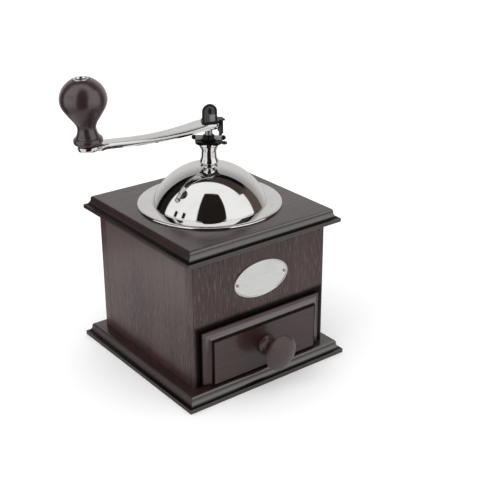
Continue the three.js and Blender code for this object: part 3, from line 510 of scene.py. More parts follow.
class Graph:
    """A node tree with short calls for adding and linking nodes."""

    def __init__(self, tree: bpy.types.NodeTree) -> None:
        """Wraps a node tree."""
        self.tree = tree

    def node(self, kind: str, **settings: object) -> Node:
        """Adds a node and sets its properties.

        Args:
            kind: the node's type name, without the ShaderNode at its front.
            settings: properties of the node.

        Returns:
            The node.
        """
        made = self.tree.nodes.new("ShaderNode" + kind)
        for key, value in settings.items():
            setattr(made, key, value)
        return made

    def feed(self, socket: Socket, value: object) -> None:
        """Links an output to a socket, or sets the socket's own value.

        Args:
            socket: the input socket.
            value: the output to link, or the plain value.
        """
        if isinstance(value, Socket):
            self.tree.links.new(value, socket)
        elif isinstance(value, tuple) and len(value) == 3 and socket.type == "RGBA":
            socket.default_value = (*value, 1.0)
        else:
            socket.default_value = value

    def fill(self, node: Node, values: dict[str, object]) -> Node:
        """Feeds a node's inputs by their names.

        Args:
            node: the node.
            values: an output or a plain value for each input that is fed.

        Returns:
            The node.
        """
        for name, value in values.items():
            self.feed(node.inputs[name], value)
        return node

    def split(self, vector: Socket) -> tuple[Socket, Socket, Socket]:
        """Takes a vector apart into its X, Y and Z."""
        made = self.fill(self.node("SeparateXYZ"), {"Vector": vector})
        return made.outputs[0], made.outputs[1], made.outputs[2]

    def place(self) -> Socket:
        """Reads the place on the object, in metres."""
        return self.node("TexCoord").outputs["Object"]

    def grain(self, turn: Triple, place: Triple, pore_depth: float) -> Node:
        """Adds the shared grain of wood.

        Args:
            turn: the turn that brings the grain upright.
            place: where in the plank the piece was cut from.
            pore_depth: how deep the pores are beside the streaks.

        Returns:
            The grain's node.
        """
        made = self.node("Group", node_tree=stained_grain())
        return self.fill(made, {"Place": self.stretched(self.place(), UNSCALED, turn, place),
                                "Pore Depth": pore_depth})

    def bumped(self, height: Socket, strength: float, distance: float) -> Socket:
        """Raises the surface by a height.

        Args:
            height: the height.
            strength: how much of it shows.
            distance: what a height of 1 stands for, in metres.

        Returns:
            The bumped normal.
        """
        made = self.node("Bump")
        self.fill(made, {"Height": height, "Strength": strength, "Distance": distance})
        return made.outputs["Normal"]

    def maths(self, operation: str, first: object, second: object = 0.0,
              third: object = 0.0, clamp: bool = False) -> Socket:
        """Does a sum on values.

        Args:
            operation: the Math node's operation.
            first: first value or socket.
            second: second value or socket.
            third: third value or socket, where the operation has one.
            clamp: whether the result stays between 0 and 1.

        Returns:
            The result's socket.
        """
        made = self.node("Math", operation=operation, use_clamp=clamp)
        for socket, value in zip(made.inputs, (first, second, third)):
            self.feed(socket, value)
        return made.outputs[0]

    def ramp(self, value: object, low: float, high: float, start: float = 0.0, end: float = 1.0) -> Socket:
        """Maps a value smoothly from one range to another.

        Args:
            value: value or socket.
            low: value that gives start.
            high: value that gives end.
            start: result at low.
            end: result at high.

        Returns:
            The result's socket.
        """
        made = self.node("MapRange", interpolation_type="SMOOTHSTEP")
        self.fill(made, {"Value": value, "From Min": low, "From Max": high, "To Min": start, "To Max": end})
        return made.outputs["Result"]

    def blend(self, share: object, first: object, second: object) -> Socket:
        """Mixes two colours.

        Args:
            share: share of the second colour.
            first: first colour or socket.
            second: second colour or socket.

        Returns:
            The mixed colour's socket.
        """
        made = self.node("Mix", data_type="RGBA")
        self.feed(made.inputs[0], share)
        self.feed(made.inputs[6], first)
        self.feed(made.inputs[7], second)
        return made.outputs[2]

    def noise(self, vector: Socket, scale: float, detail: float = 3.0, roughness: float = 0.55) -> Socket:
        """Adds noise on a vector.

        Args:
            vector: the place that the noise reads.
            scale: its scale, per metre.
            detail: how many finer layers it has.
            roughness: how strong the finer layers are.

        Returns:
            The noise's value.
        """
        made = self.node("TexNoise")
        self.fill(made, {"Vector": vector, "Scale": scale, "Detail": detail, "Roughness": roughness})
        return made.outputs["Fac"]

    def stretched(self, vector: Socket, scale: Triple, turn: Triple = UNMOVED,
                  place: Triple = UNMOVED) -> Socket:
        """Turns, moves and stretches the place that a pattern reads.

        Args:
            vector: the place.
            scale: stretch on each axis.
            turn: turn about each axis.
            place: move on each axis.

        Returns:
            The new place.
        """
        made = self.node("Mapping", vector_type="POINT")
        self.fill(made, {"Vector": vector, "Scale": scale, "Rotation": turn, "Location": place})
        return made.outputs["Vector"]


def effect(name: str, inputs: dict[str, str], outputs: dict[str, str],
           build: Callable[[Graph, Node, Node], None]) -> bpy.types.NodeTree:
    """Makes a shared node group once.

    Args:
        name: the group's name.
        inputs: name and kind of each input socket.
        outputs: name and kind of each output socket.
        build: fills the group, given its graph, input node and output node.

    Returns:
        The group.
    """
    if name in bpy.data.node_groups:
        return bpy.data.node_groups[name]
    group = bpy.data.node_groups.new(name, "ShaderNodeTree")
    for way, sockets in (("INPUT", inputs), ("OUTPUT", outputs)):
        for socket, kind in sockets.items():
            group.interface.new_socket(name=socket, in_out=way, socket_type="NodeSocket" + kind)
    graph = Graph(group)
    build(graph, group.nodes.new("NodeGroupInput"), group.nodes.new("NodeGroupOutput"))
    return group


@dataclass(frozen=True)
class GrainLayer:
    """A noise drawn out along the grain: its scale per metre, and its share of that along the grain."""

    scale: float
    along: float
    detail: float
    roughness: float
    place: Triple = UNMOVED

    def drawn(self, graph: Graph, place: Socket) -> Socket:
        """Draws the layer at a place whose Z runs along the grain."""
        stretched = graph.stretched(place, (1.0, 1.0, self.along), place=self.place)
        return graph.noise(stretched, self.scale, self.detail, self.roughness)


STREAKS = GrainLayer(620.0, 0.028, 4.0, 0.62)
PORES = GrainLayer(1900.0, 0.045, 2.0, 0.5, (0.3, 0.1, 0.2))
CLOUDS = GrainLayer(34.0, 0.16, 3.0, 0.5, (0.7, 0.4, 0.9))
FLECKS = GrainLayer(1150.0, 0.11, 3.0, 0.6, (0.9, 0.2, 0.6))


def stained_grain() -> bpy.types.NodeTree:
    """Gives the shared grain of the stained wood: streaks, pores, flecks and slow changes of tone.

    Returns:
        A group whose grain runs along Z of its Place input.
    """
    streak_share, cloud_share, streak_height = 0.62, 0.38, 0.35
    pore_range, fleck_range, tone_range = (0.60, 0.72), (0.52, 0.67), (0.36, 0.64)

    def build(graph: Graph, given: Node, result: Node) -> None:
        """Layers the four noises.

        Args:
            graph: the group's graph.
            given: its input node.
            result: its output node.
        """
        streaks, fine, cloud, dashes = (layer.drawn(graph, given.outputs["Place"])
                                        for layer in (STREAKS, PORES, CLOUDS, FLECKS))
        pores = graph.ramp(fine, *pore_range)
        cloud = graph.maths("MULTIPLY", cloud, cloud_share)
        tone = graph.maths("MULTIPLY_ADD", streaks, streak_share, cloud)
        depth = graph.maths("MULTIPLY", pores, given.outputs["Pore Depth"])
        raised = graph.maths("MULTIPLY", streaks, streak_height)
        graph.fill(result, {"Tone": graph.ramp(tone, *tone_range), "Pores": pores,
                            "Flecks": graph.ramp(dashes, *fleck_range),
                            "Height": graph.maths("SUBTRACT", raised, depth)})

    return effect("stained_grain", {"Place": "Vector", "Pore Depth": "Float"},
                  {"Tone": "Float", "Pores": "Float", "Flecks": "Float", "Height": "Float"}, build)


def handling_marks() -> bpy.types.NodeTree:
    """Gives the shared faint marks of handling on metal: soft smears and a fine polish grain.

    Returns:
        A group with a Smear mask and a Polish height.
    """
    smear_scale, smear_range = 55.0, (0.42, 0.72)
    polish_scale, polish_stretch = 900.0, (1.0, 1.0, 9.0)

    def build(graph: Graph, given: Node, result: Node) -> None:
        """Mixes a broad smear with fine lines that follow the polish.

        Args:
            graph: the group's graph.
            given: its input node.
            result: its output node.
        """
        place = given.outputs["Place"]
        smear = graph.ramp(graph.noise(place, smear_scale, 4.0, 0.6), *smear_range)
        polish = graph.noise(graph.stretched(place, polish_stretch), polish_scale, 2.0, 0.5)
        graph.fill(result, {"Smear": smear, "Polish": polish})

    return effect("handling_marks", {"Place": "Vector"}, {"Smear": "Float", "Polish": "Float"}, build)


@dataclass(frozen=True)
class Finish:
    """A finish that is mixed once, under its name, for every piece that wears it."""

    name: str

    def material(self) -> bpy.types.Material:
        """Mixes the finish, or hands back the one already mixed under this name.

        Returns:
            The material.
        """
        if self.name in bpy.data.materials:
            return bpy.data.materials[self.name]
        material = bpy.data.materials.new(self.name)
        material.use_nodes = True
        tree = material.node_tree
        self.mix(Graph(tree), tree.nodes["Principled BSDF"])
        return material

    def mix(self, graph: Graph, shader: Node) -> None:
        """Mixes the finish on a new material's shader, in its own way."""
        raise NotImplementedError


@dataclass(frozen=True)
class PaintedLightBand:
    """A band of painted shade in the stain, or of painted light where its tone is light: over some heights,
    or round a rectangle on the front.

    Attributes:
        fade: the readings where the band begins, is full, wanes and ends, in metres.
        share: how much of the surface it covers where it is full.
        half: half the rectangle's width, where it goes round one.
        top: height of the rectangle's top.
        tone: the painted colour: near black for painted shade, a light brown for painted light.
        dull: whether the painted shade also takes away the lacquer and the sheen, by making the band a
            near-black metal.
    """

    fade: tuple[float, float, float, float]
    share: float
    half: float | None = None
    top: float = 0.0
    tone: Colour = (0.0020, 0.0012, 0.0012)
    dull: bool = True

    def mask(self, graph: Graph, place: Socket) -> Socket:
        """Marks the band.

        Args:
            graph: the material's graph.
            place: the place on the piece, in metres.

        Returns:
            How much of the surface the painted tone covers.
        """
        x, _, reading = graph.split(place)
        if self.half is not None:
            beside = graph.maths("SUBTRACT", graph.maths("ABSOLUTE", x), self.half)
            reading = graph.maths("MAXIMUM", beside, graph.maths("SUBTRACT", reading, self.top))
        begin, full, wane, end = self.fade
        band = graph.maths("MULTIPLY", graph.ramp(reading, begin, full), graph.ramp(reading, end, wane))
        return graph.maths("MULTIPLY", band, self.share)


@dataclass(frozen=True)
class StainedWood(Finish):
    """Dark espresso stain over open-pored wood, with a thin satin lacquer.

    Attributes:
        place: where in the plank the piece was cut from.
        dark, light: the stain between the streaks and on them.
        strength: how much the pores, the flecks and the relief show.
        streak_gloss: how much smoother the streaks are.
        edge_lacquer: the lacquer on the routed edges, where it differs from the flat faces.
        shaded_under_lacquer: share of the lacquer left where the wood faces down; less than 1 paints shade
            on the underside.
        shaded_side_lacquer: share of the edges' lacquer left where they face left (-X); it paints shade on
            those edges.
        painted_band: a band where the stain is darkened by painted shade, or lightened by painted light, as
            its tone sets.
        under_fade, edge_fade, side_fade: where the lacquer changes, by the way the wood faces; the under and
            side fades place the painted shade.
    """

    grain: Grain = Grain.UPRIGHT
    place: Triple = UNMOVED
    dark: Colour = (0.0285, 0.0112, 0.0110)
    light: Colour = (0.0540, 0.0238, 0.0232)
    pore: Colour = (0.0120, 0.0060, 0.0058)
    fleck: Colour = (0.1400, 0.0850, 0.0790)
    strength: float = 1.0
    pore_share: float = 0.55
    fleck_share: float = 0.8
    pore_depth: float = 0.8
    relief: float = 0.32
    relief_depth: float = 0.00012
    roughness: float = 0.41
    streak_gloss: float = 0.07
    pore_roughness: float = 0.2
    lacquer: float = 0.25
    edge_lacquer: float | None = None
    shaded_under_lacquer: float = 1.0
    shaded_side_lacquer: float = 0.12
    lacquer_roughness: float = 0.18
    lacquer_index: float = 1.5
    painted_band: PaintedLightBand | None = None
    under_fade: Pair = (-0.35, 0.0)
    edge_fade: Pair = (0.970, 0.998)
    side_fade: Pair = (-0.22, -0.03)

    def mix(self, graph: Graph, shader: Node) -> None:
        """Mixes the stain and lays the lacquer.

        Args:
            graph: the material's graph.
            shader: its shader.
        """
        grain = graph.grain(self.grain.value, self.place, self.pore_depth).outputs
        stain = graph.blend(grain["Tone"], self.dark, self.light)
        pores = graph.maths("MULTIPLY", grain["Pores"], self.pore_share * self.strength)
        flecks = graph.maths("MULTIPLY", grain["Flecks"], self.fleck_share * self.strength)
        stain = graph.blend(flecks, graph.blend(pores, stain, self.pore), self.fleck)
        # The lacquer's weight carries painted shade: it is cut on downward faces, or, on woods with routed
        # edges, on edges that face left.
        weight = self.shaded_underside(graph) if self.edge_lacquer is None else self.edge_polish(graph)
        # Painted light band: the stain blends towards the band's tone, painted shade when it is dark and
        # painted light when it is light; a dull band also loses its lacquer and sheen.
        if self.painted_band is not None:
            painted_share = self.painted_band.mask(graph, graph.place())
            stain = graph.blend(painted_share, stain, self.painted_band.tone)
            if self.painted_band.dull:
                weight = graph.maths("MULTIPLY", weight, graph.maths("SUBTRACT", 1.0, painted_share))
                graph.fill(shader, {"Metallic": painted_share})
        uneven = graph.maths("MULTIPLY_ADD", grain["Tone"], -self.streak_gloss, self.roughness)
        graph.fill(shader, {
            "Base Color": stain,
            "Roughness": graph.maths("MULTIPLY_ADD", grain["Pores"], self.pore_roughness, uneven),
            "Normal": graph.bumped(grain["Height"], self.relief * self.strength, self.relief_depth),
            "Coat Weight": weight,
            "Coat Roughness": self.lacquer_roughness,
            "Coat IOR": self.lacquer_index})

    def shaded_underside(self, graph: Graph) -> Socket:
        """Paints shade on the underside: the lacquer, and with it the sheen, is cut where the wood faces
        down.

        Args:
            graph: the material's graph.

        Returns:
            The lacquer's weight.
        """
        facing = graph.split(graph.node("NewGeometry").outputs["Normal"])
        return graph.ramp(facing[2], *self.under_fade, self.lacquer * self.shaded_under_lacquer, self.lacquer)

    def edge_polish(self, graph: Graph) -> Socket:
        """Lays the lacquer thicker on the routed edges than on the flat faces, and paints shade on the edges
        that face left by cutting their lacquer.

        Args:
            graph: the material's graph.

        Returns:
            The lacquer's weight.
        """
        facing = graph.node("NewGeometry").outputs["Normal"]
        size = graph.node("VectorMath", operation="ABSOLUTE")
        graph.feed(size.inputs[0], facing)
        x, y, z = graph.split(size.outputs["Vector"])
        most = graph.maths("MAXIMUM", graph.maths("MAXIMUM", x, y), z)
        thick = graph.ramp(most, *self.edge_fade, self.edge_lacquer, self.lacquer)
        # painted shade: edges facing left (-X) keep only part of their lacquer, so they show less sheen
        shaded = graph.ramp(graph.split(facing)[0], *self.side_fade, self.shaded_side_lacquer, 1.0)
        return graph.maths("MULTIPLY", thick, shaded)


@dataclass(frozen=True)
class PaleWood(Finish):
    """Bare pale wood of the drawer's box and its guides."""

    grain: Grain = Grain.DEEP
    dark: Colour = (0.36, 0.22, 0.115)
    light: Colour = (0.60, 0.42, 0.25)
    pore_depth: float = 0.4
    relief: float = 0.3
    relief_depth: float = 0.0001
    roughness: float = 0.62
    streak_gloss: float = 0.1

    def mix(self, graph: Graph, shader: Node) -> None:
        """Mixes the bare wood.

        Args:
            graph: the material's graph.
            shader: its shader.
        """
        grain = graph.grain(self.grain.value, UNMOVED, self.pore_depth).outputs
        graph.fill(shader, {
            "Base Color": graph.blend(grain["Tone"], self.dark, self.light),
            "Roughness": graph.maths("MULTIPLY_ADD", grain["Tone"], -self.streak_gloss, self.roughness),
            "Normal": graph.bumped(grain["Height"], self.relief, self.relief_depth)})


@dataclass(frozen=True)
class Metal(Finish):
    """A metal finish: its colour, how polished it is and how much handling shows.

    Attributes:
        smear: how much rougher it is where it was handled.
        polish: how much the fine lines of the polish show.
        metallic: share of bare metal, less than 1 where it is worn or enamelled.
        stretch: how the marks are drawn out on each axis.
    """

    colour: Colour
    smeared: Colour
    roughness: float
    smear: float
    polish: float = 0.0
    polish_depth: float = 0.00005
    metallic: float = 1.0
    specular: float = 0.5
    stretch: Triple = UNSCALED

    def mix(self, graph: Graph, shader: Node) -> None:
        """Mixes the metal.

        Args:
            graph: the material's graph.
            shader: its shader.
        """
        group = graph.node("Group", node_tree=handling_marks())
        marks = graph.fill(group, {"Place": graph.stretched(graph.place(), self.stretch)}).outputs
        graph.fill(shader, {
            "Base Color": graph.blend(marks["Smear"], self.colour, self.smeared),
            "Roughness": graph.maths("MULTIPLY_ADD", marks["Smear"], self.smear, self.roughness),
            "Metallic": self.metallic,
            "Specular IOR Level": self.specular})
        if self.polish:
            graph.fill(shader, {"Normal": graph.bumped(marks["Polish"], self.polish, self.polish_depth)})


@dataclass(frozen=True)
class PaleFloor(Finish):
    """The matt floor, which mirrored rays see darker and only up to the table's edge."""

    tones: tuple[Colour, Colour] = ((0.90, 0.90, 0.90), (0.93, 0.93, 0.93))
    mirrored: Colour = (0.60, 0.60, 0.60)
    cloud_scale: float = 3.0
    roughness: float = 0.9
    specular: float = 0.1
    table_reach: float = 0.23
    table_edge: float = 0.02

    def mix(self, graph: Graph, shader: Node) -> None:
        """Mixes the floor's colour and lets mirrored rays past the table's edge.

        Args:
            graph: the material's graph.
            shader: its shader.
        """
        place = graph.place()
        path = graph.node("LightPath").outputs
        cloud = graph.blend(graph.noise(place, self.cloud_scale, 2.0), *self.tones)
        reach = graph.node("VectorMath", operation="LENGTH")
        graph.feed(reach.inputs[0], place)
        far = graph.ramp(reach.outputs["Value"], self.table_reach, self.table_reach + self.table_edge)
        past = graph.maths("MULTIPLY", far, path["Is Glossy Ray"])
        graph.fill(shader, {
            "Base Color": graph.blend(path["Is Camera Ray"], self.mirrored, cloud),
            "Roughness": self.roughness,
            "Specular IOR Level": self.specular,
            "Alpha": graph.maths("SUBTRACT", 1.0, past)})


BACK_WOOD = StainedWood("stained_back", strength=0.8)
# Painted shadow: a near-black band without sheen on the front panel, round the drawer front.
FRONT_WOOD = replace(BACK_WOOD, name="stained_front",
                     painted_band=PaintedLightBand((-0.020, -0.010, 0.0026, 0.0064), 0.94, 0.0505, 0.0503))
# Painted light: the side panels' stain turns lighter towards their top.
SIDE_WOOD = StainedWood("stained_side", place=(0.31, 0.17, 0.05), strength=0.6,
                        painted_band=PaintedLightBand((0.045, 0.103, 0.5, 0.6), 0.5, tone=(0.150, 0.112, 0.110),
                                            dull=False))
# Painted shade: a near-black band without sheen low in the cove of the base board's routed edge.
BOARD_WOOD = StainedWood("stained_board", Grain.SIDEWAYS, (0.52, 0.11, 0.37), dark=(0.0130, 0.0054, 0.0054),
                         light=(0.0280, 0.0118, 0.0116), fleck=(0.0520, 0.0300, 0.0280), strength=0.5,
                         lacquer=0.42, edge_lacquer=1.0, lacquer_roughness=0.16, lacquer_index=2.0,
                         painted_band=PaintedLightBand((0.0030, 0.0033, 0.0039, 0.0049), 0.8))
# Painted shade: the same near-black band without sheen low in the cove of the top board's routed edge.
TOP_WOOD = replace(BOARD_WOOD, name="stained_top_board",
                   painted_band=PaintedLightBand((0.1061, 0.1064, 0.1071, 0.1081), 0.8))
# Painted shadow: a thin near-black line without sheen along the top and sides of the drawer front's raised
# face.
DRAWER_WOOD = StainedWood("stained_drawer_front", Grain.SIDEWAYS, (0.13, 0.64, 0.21),
                          dark=(0.0270, 0.0082, 0.0082), light=(0.0410, 0.0150, 0.0148),
                          fleck=(0.0520, 0.0300, 0.0280), strength=0.15, lacquer=0.22, edge_lacquer=1.0,
                          lacquer_roughness=0.16, lacquer_index=2.0,
                          painted_band=PaintedLightBand((-0.0006, -0.0002, 0.0006, 0.0014), 0.9, 0.0439, 0.0437))
# Painted shade: the crank knob's underside keeps only 0.3 of its lacquer, which darkens it.
TURNED_WOOD = StainedWood("stained_turned", Grain.UPRIGHT, (0.77, 0.29, 0.48),
                          dark=(0.0200, 0.0056, 0.0066), light=(0.0360, 0.0108, 0.0126),
                          fleck=(0.0270, 0.0120, 0.0120), strength=0.15,
                          lacquer=0.95, lacquer_roughness=0.22, lacquer_index=1.75, shaded_under_lacquer=0.3)
KNOB_WOOD = StainedWood("stained_small_knob", Grain.DEEP, (0.27, 0.59, 0.18), dark=(0.0240, 0.0070, 0.0074),
                        light=(0.0400, 0.0134, 0.0142), fleck=(0.0320, 0.0140, 0.0140), strength=0.15,
                        lacquer=0.75, lacquer_roughness=0.24)
BEECH = PaleWood("bare_beech")
CHROME = Metal("polished_chrome", (0.86, 0.855, 0.85), (0.80, 0.795, 0.785), 0.028, 0.035)
SATIN = Metal("satin_plate", (0.82, 0.82, 0.812), (0.75, 0.75, 0.745), 0.30, 0.08, 0.14,
              stretch=(1.0, 1.0, 14.0))
STEEL = Metal("plain_steel", (0.46, 0.46, 0.47), (0.38, 0.37, 0.37), 0.26, 0.14, 0.15)
DARK_STEEL = Metal("dark_plated_steel", (0.090, 0.089, 0.091), (0.056, 0.056, 0.058), 0.24, 0.12, 0.2)
GREY = Metal("light_grey_steel", (0.230, 0.220, 0.220), (0.160, 0.150, 0.150), 0.42, 0.12, 0.2, metallic=0.2)
CAST = Metal("bare_cast_steel", (0.600, 0.585, 0.580), (0.450, 0.440, 0.435), 0.50, 0.10, 0.3, metallic=0.4)
BLACK = Metal("black_enamel", (0.005, 0.005, 0.006), (0.009, 0.009, 0.010), 0.24, 0.12, 0.1, metallic=0.0,
              specular=0.20)
IRON = Metal("rough_iron", (0.14, 0.14, 0.145), (0.10, 0.095, 0.09), 0.48, 0.16, 0.5, metallic=0.85)
BRONZE = Metal("bronze_bush", (0.52, 0.33, 0.15), (0.40, 0.25, 0.12), 0.28, 0.15, 0.1)


@dataclass(frozen=True)
class Moulding:
    """The routed edge that all the boards share: a lip, a cove and a small rounded shoulder.

    Attributes:
        lip: height of the flat lip.
        run: how far the edge reaches inwards.
        shoulder: the shoulder's share of the edge.
        ease: size of the rounding on the lip's two edges.
    """

    lip: float
    run: float
    thickness: float
    shoulder: float = 0.28
    ease: float = 0.35
    cove_steps: int = 12
    shoulder_steps: int = 8

    def outline(self) -> Outline:
        """Draws the edge.

        Returns:
            Points as (inset, height).
        """
        lip, ease, corner = self.lip, self.ease, self.ease * 0.3
        shoulder_run, shoulder_rise = self.run * self.shoulder, (self.thickness - lip) * self.shoulder
        cove_run, cove_rise = self.run - shoulder_run, self.thickness - lip - shoulder_rise
        points: Outline = [(ease, 0.0), (corner, corner), (0.0, ease), (0.0, lip - ease),
                           (corner, lip - corner)]
        for turn in angles(math.pi / 2, self.cove_steps)[1:]:
            points.append((cove_run * math.sin(turn), lip + cove_rise * (1 - math.cos(turn))))
        for turn in angles(math.pi / 2, self.shoulder_steps)[1:]:
            points.append((self.run - shoulder_run * math.cos(turn),
                           self.thickness - shoulder_rise * (1 - math.sin(turn))))
        return points

    def board(self, half_width: float, half_depth: float) -> Workpiece:
        """Shapes a rectangular board by raising its face step by step along the edge.

        Args:
            half_width: half its size in x.
            half_depth: half its size in y.

        Returns:
            The board, with its underside at height zero.
        """
        board = Workpiece()
        bm = board.bm
        edge = self.outline()
        inset, height = edge[0]
        corners = [(-1, -1), (1, -1), (1, 1), (-1, 1)]
        face = bm.faces.new([bm.verts.new((x * (half_width - inset), y * (half_depth - inset), height))
                             for x, y in corners])
        for step, (next_inset, next_height) in enumerate(edge[1:]):
            made = bmesh.ops.extrude_face_region(bm, geom=[face])["geom"]
            verts = picked(bmesh.types.BMVert, made)
            grow = ((half_width - next_inset) / (half_width - inset),
                    (half_depth - next_inset) / (half_depth - inset), 1.0)
            bmesh.ops.scale(bm, vec=grow, verts=verts)
            bmesh.ops.translate(bm, vec=(0, 0, next_height - height), verts=verts)
            if step:
                bmesh.ops.delete(bm, geom=[face], context="FACES_ONLY")
            face = picked(bmesh.types.BMFace, made)[0]
            inset, height = next_inset, next_height
        return board.cleaned()


@dataclass(frozen=True)
class PanScrew:
    """A pan-head screw that points up, with a cross recess where it has one.

    Attributes:
        shank, head: their radii.
        rise: height of the head.
        length: length of the shank below the head.
        crown: the head's dome, as shares of its radius and its height.
        cross_reach, cross_half, cross_depth: sizes of the recess, as shares of the same.
    """

    shank: float
    head: float
    rise: float
    length: float
    cross: bool = True
    crown: Profile = ((1.0, 0.35), (0.93, 0.68), (0.62, 0.93), (0.0, 1.0))
    cross_reach: float = 0.52
    cross_half: float = 0.13
    cross_depth: float = 0.45

    def made(self) -> Workpiece:
        """Turns the screw and cuts its recess.

        Returns:
            The screw, with its head's seat at height zero.
        """
        shank, head, rise, end = self.shank, self.head, self.rise, -self.length
        crown = flowing(scaled(self.crown, head, rise), 5)
        screw = Workpiece.turned([(0, end), (shank * 0.7, end), (shank, end + shank * 0.6), (shank, 0),
                                  (head, 0), *crown], 48)
        if self.cross:
            reach, half = head * self.cross_reach, head * self.cross_half
            floor = rise - rise * self.cross_depth
            for wide, tall in ((reach, half), (half, reach)):
                screw.cut(Workpiece.block((-wide, -tall, floor), (wide, tall, rise + 1)))
        return screw


@dataclass
class WoodenCase:
    """The box: base and top boards with moulded edges, and the four upright panels."""

    base_half: Pair = (67.5, 69.65)
    base_edge: Moulding = Moulding(lip=3.2, run=5.0, thickness=9.8)
    top_half: Pair = (64.15, 66.3)
    top_edge: Moulding = Moulding(lip=2.9, run=5.55, thickness=9.6)
    case_half: Pair = (56.0, 58.0)
    case_low: float = 9.8
    case_top: float = 103.4
    panel: float = 8.0
    corner_ease: float = 0.45
    side_ease: float = 0.12
    opening_half: float = 46.0
    opening_top: float = 46.0
    bowl_hole: float = 41.3
    bowl_drill: Pair = (-2.0, 12.0)
    screw: PanScrew = PanScrew(shank=1.8, head=3.6, rise=2.0, length=23.0)
    screw_place: Pair = (52.0, 40.0)
    screw_recess: Pair = (3.9, 3.0)

    def build(self) -> None:
        """Builds and dresses the boards, the panels and the base screws."""
        self.boards()
        self.panels()
        self.base_screws()

    def boards(self) -> None:
        """Builds the base board with its screw recesses, and the top board with its round hole."""
        radius, depth = self.screw_recess
        base = self.base_edge.board(*self.base_half)
        for x, y in self.screw_places():
            base.cut(Workpiece.rod(radius, -DRILL_SPARE, depth).moved(x, y, 0))
        base.done("base_board", BOARD_WOOD, Body.CASE, "stained_wood", weighted=True)
        top = self.top_edge.board(*self.top_half).moved(0, 0, self.case_top)
        below, above = self.bowl_drill
        top.cut(Workpiece.rod(self.bowl_hole, self.case_top + below, self.case_top + above, 144))
        top.done("top_board", TOP_WOOD, Body.CASE, "stained_wood", weighted=True)

    def panels(self) -> None:
        """Builds the four panels; the front one has the drawer's opening."""
        wide, deep = self.case_half
        low, high, inner = self.case_low, self.case_top, deep - self.panel
        opening, sill = self.opening_half, self.opening_top
        outline = [(-wide, low), (-opening, low), (-opening, sill), (opening, sill), (opening, low),
                   (wide, low), (wide, high), (-wide, high)]
        front = Workpiece.plate(outline, 0, self.panel).tipped(90, "X").moved(0, -inner, 0)
        back = Workpiece.block((-wide, inner, low), (wide, deep, high))
        for name, panel, finish in (("front_panel", front, FRONT_WOOD), ("back_panel", back, BACK_WOOD)):
            panel.eased(self.corner_ease, 3, where=self.upright_corner)
            panel.done(name, finish, Body.CASE, "stained_wood", weighted=True)
        for name, side in (("left", -1), ("right", 1)):
            near, far = sorted((side * wide, side * (wide - self.panel)))
            panel = Workpiece.block((near, -inner, low), (far, inner, high))
            panel.eased(self.side_ease, 2, where=lambda place: abs(place.x) > wide - 1)
            panel.done(f"{name}_panel", SIDE_WOOD, Body.CASE, "stained_wood", weighted=True)

    def upright_corner(self, place: Vector) -> bool:
        """Says whether an edge is one of the case's outer corners or the rim of the opening.

        Args:
            place: the middle of the edge.

        Returns:
            Whether it is.
        """
        wide, deep = self.case_half
        corner = abs(place.x) > wide - 1 and abs(place.y) > deep - 1
        opening = abs(place.x) < self.opening_half + 1 and place.z < self.opening_top + 1
        return corner or (opening and place.y < 1 - deep)

    def screw_places(self) -> list[Pair]:
        """Lists where the four base screws are."""
        x, y = self.screw_place
        return [(x, y), (-x, y), (-x, -y), (x, -y)]

    def base_screws(self) -> None:
        """Builds the four countersunk screws under the base, with cross recesses."""
        for number, (x, y) in enumerate(self.screw_places(), 1):
            screw = self.screw.made().tipped(180, "X").moved(x, y, self.screw_recess[1] - GAP)
            screw.done(f"base_screw_{number}", STEEL, Body.CASE, "steel", weighted=True)


@dataclass
class Plaque:
    """The bare oval plate on the front, with a bright rolled rim and two pins."""

    half_length: float = 22.76
    half_height: float = 12.95
    height: float = 76.1
    back: float = -58.0
    thickness: float = 0.6
    rim_steps: Profile = ((0.0, 0.75), (0.12, 0.17), (0.25, 0.08), (0.35, 0.0), (0.2, -0.12), (0.18, -0.28))
    pin: PanScrew = PanScrew(shank=0.5, head=1.0, rise=0.5, length=5.0, cross=False)
    pin_reach: float = 20.0

    def build(self) -> None:
        """Builds the plate and its pins."""
        plate = Workpiece()
        bm = plate.bm
        bmesh.ops.create_circle(bm, cap_ends=True, segments=144, radius=1.0)
        bmesh.ops.scale(bm, vec=(self.half_length, self.half_height, 1.0), verts=bm.verts)
        face = bm.faces[:][0]
        for inset, rise in self.rim_steps:
            face = self.raise_face(bm, face, inset, rise)
        plate.cleaned()
        plate.tipped(90, "X").moved(0, self.back, self.height)
        plate.done("plaque", SATIN, Body.CASE, "satin_silver", sharp=50)
        for name, side in (("left", -1), ("right", 1)):
            pin = self.pin.made().tipped(90, "X")
            pin.moved(side * self.pin_reach, self.back - self.thickness - GAP, self.height)
            pin.done(f"plaque_pin_{name}", STEEL, Body.CASE, "satin_silver")

    @staticmethod
    def raise_face(bm: bmesh.types.BMesh, face: bmesh.types.BMFace, inset: float,
                   rise: float) -> bmesh.types.BMFace:
        """Insets or extrudes the face and lifts it.

        Args:
            bm: the mesh.
            face: the face to work on.
            inset: how far its rim moves inwards.
            rise: how far it moves up.

        Returns:
            The face in its new place.
        """
        if inset:
            bmesh.ops.inset_region(bm, faces=[face], thickness=inset, use_even_offset=True)
        else:
            made = bmesh.ops.extrude_face_region(bm, geom=[face])["geom"]
            face = picked(bmesh.types.BMFace, made)[0]
        bmesh.ops.translate(bm, vec=(0, 0, rise), verts=face.verts)
        return face


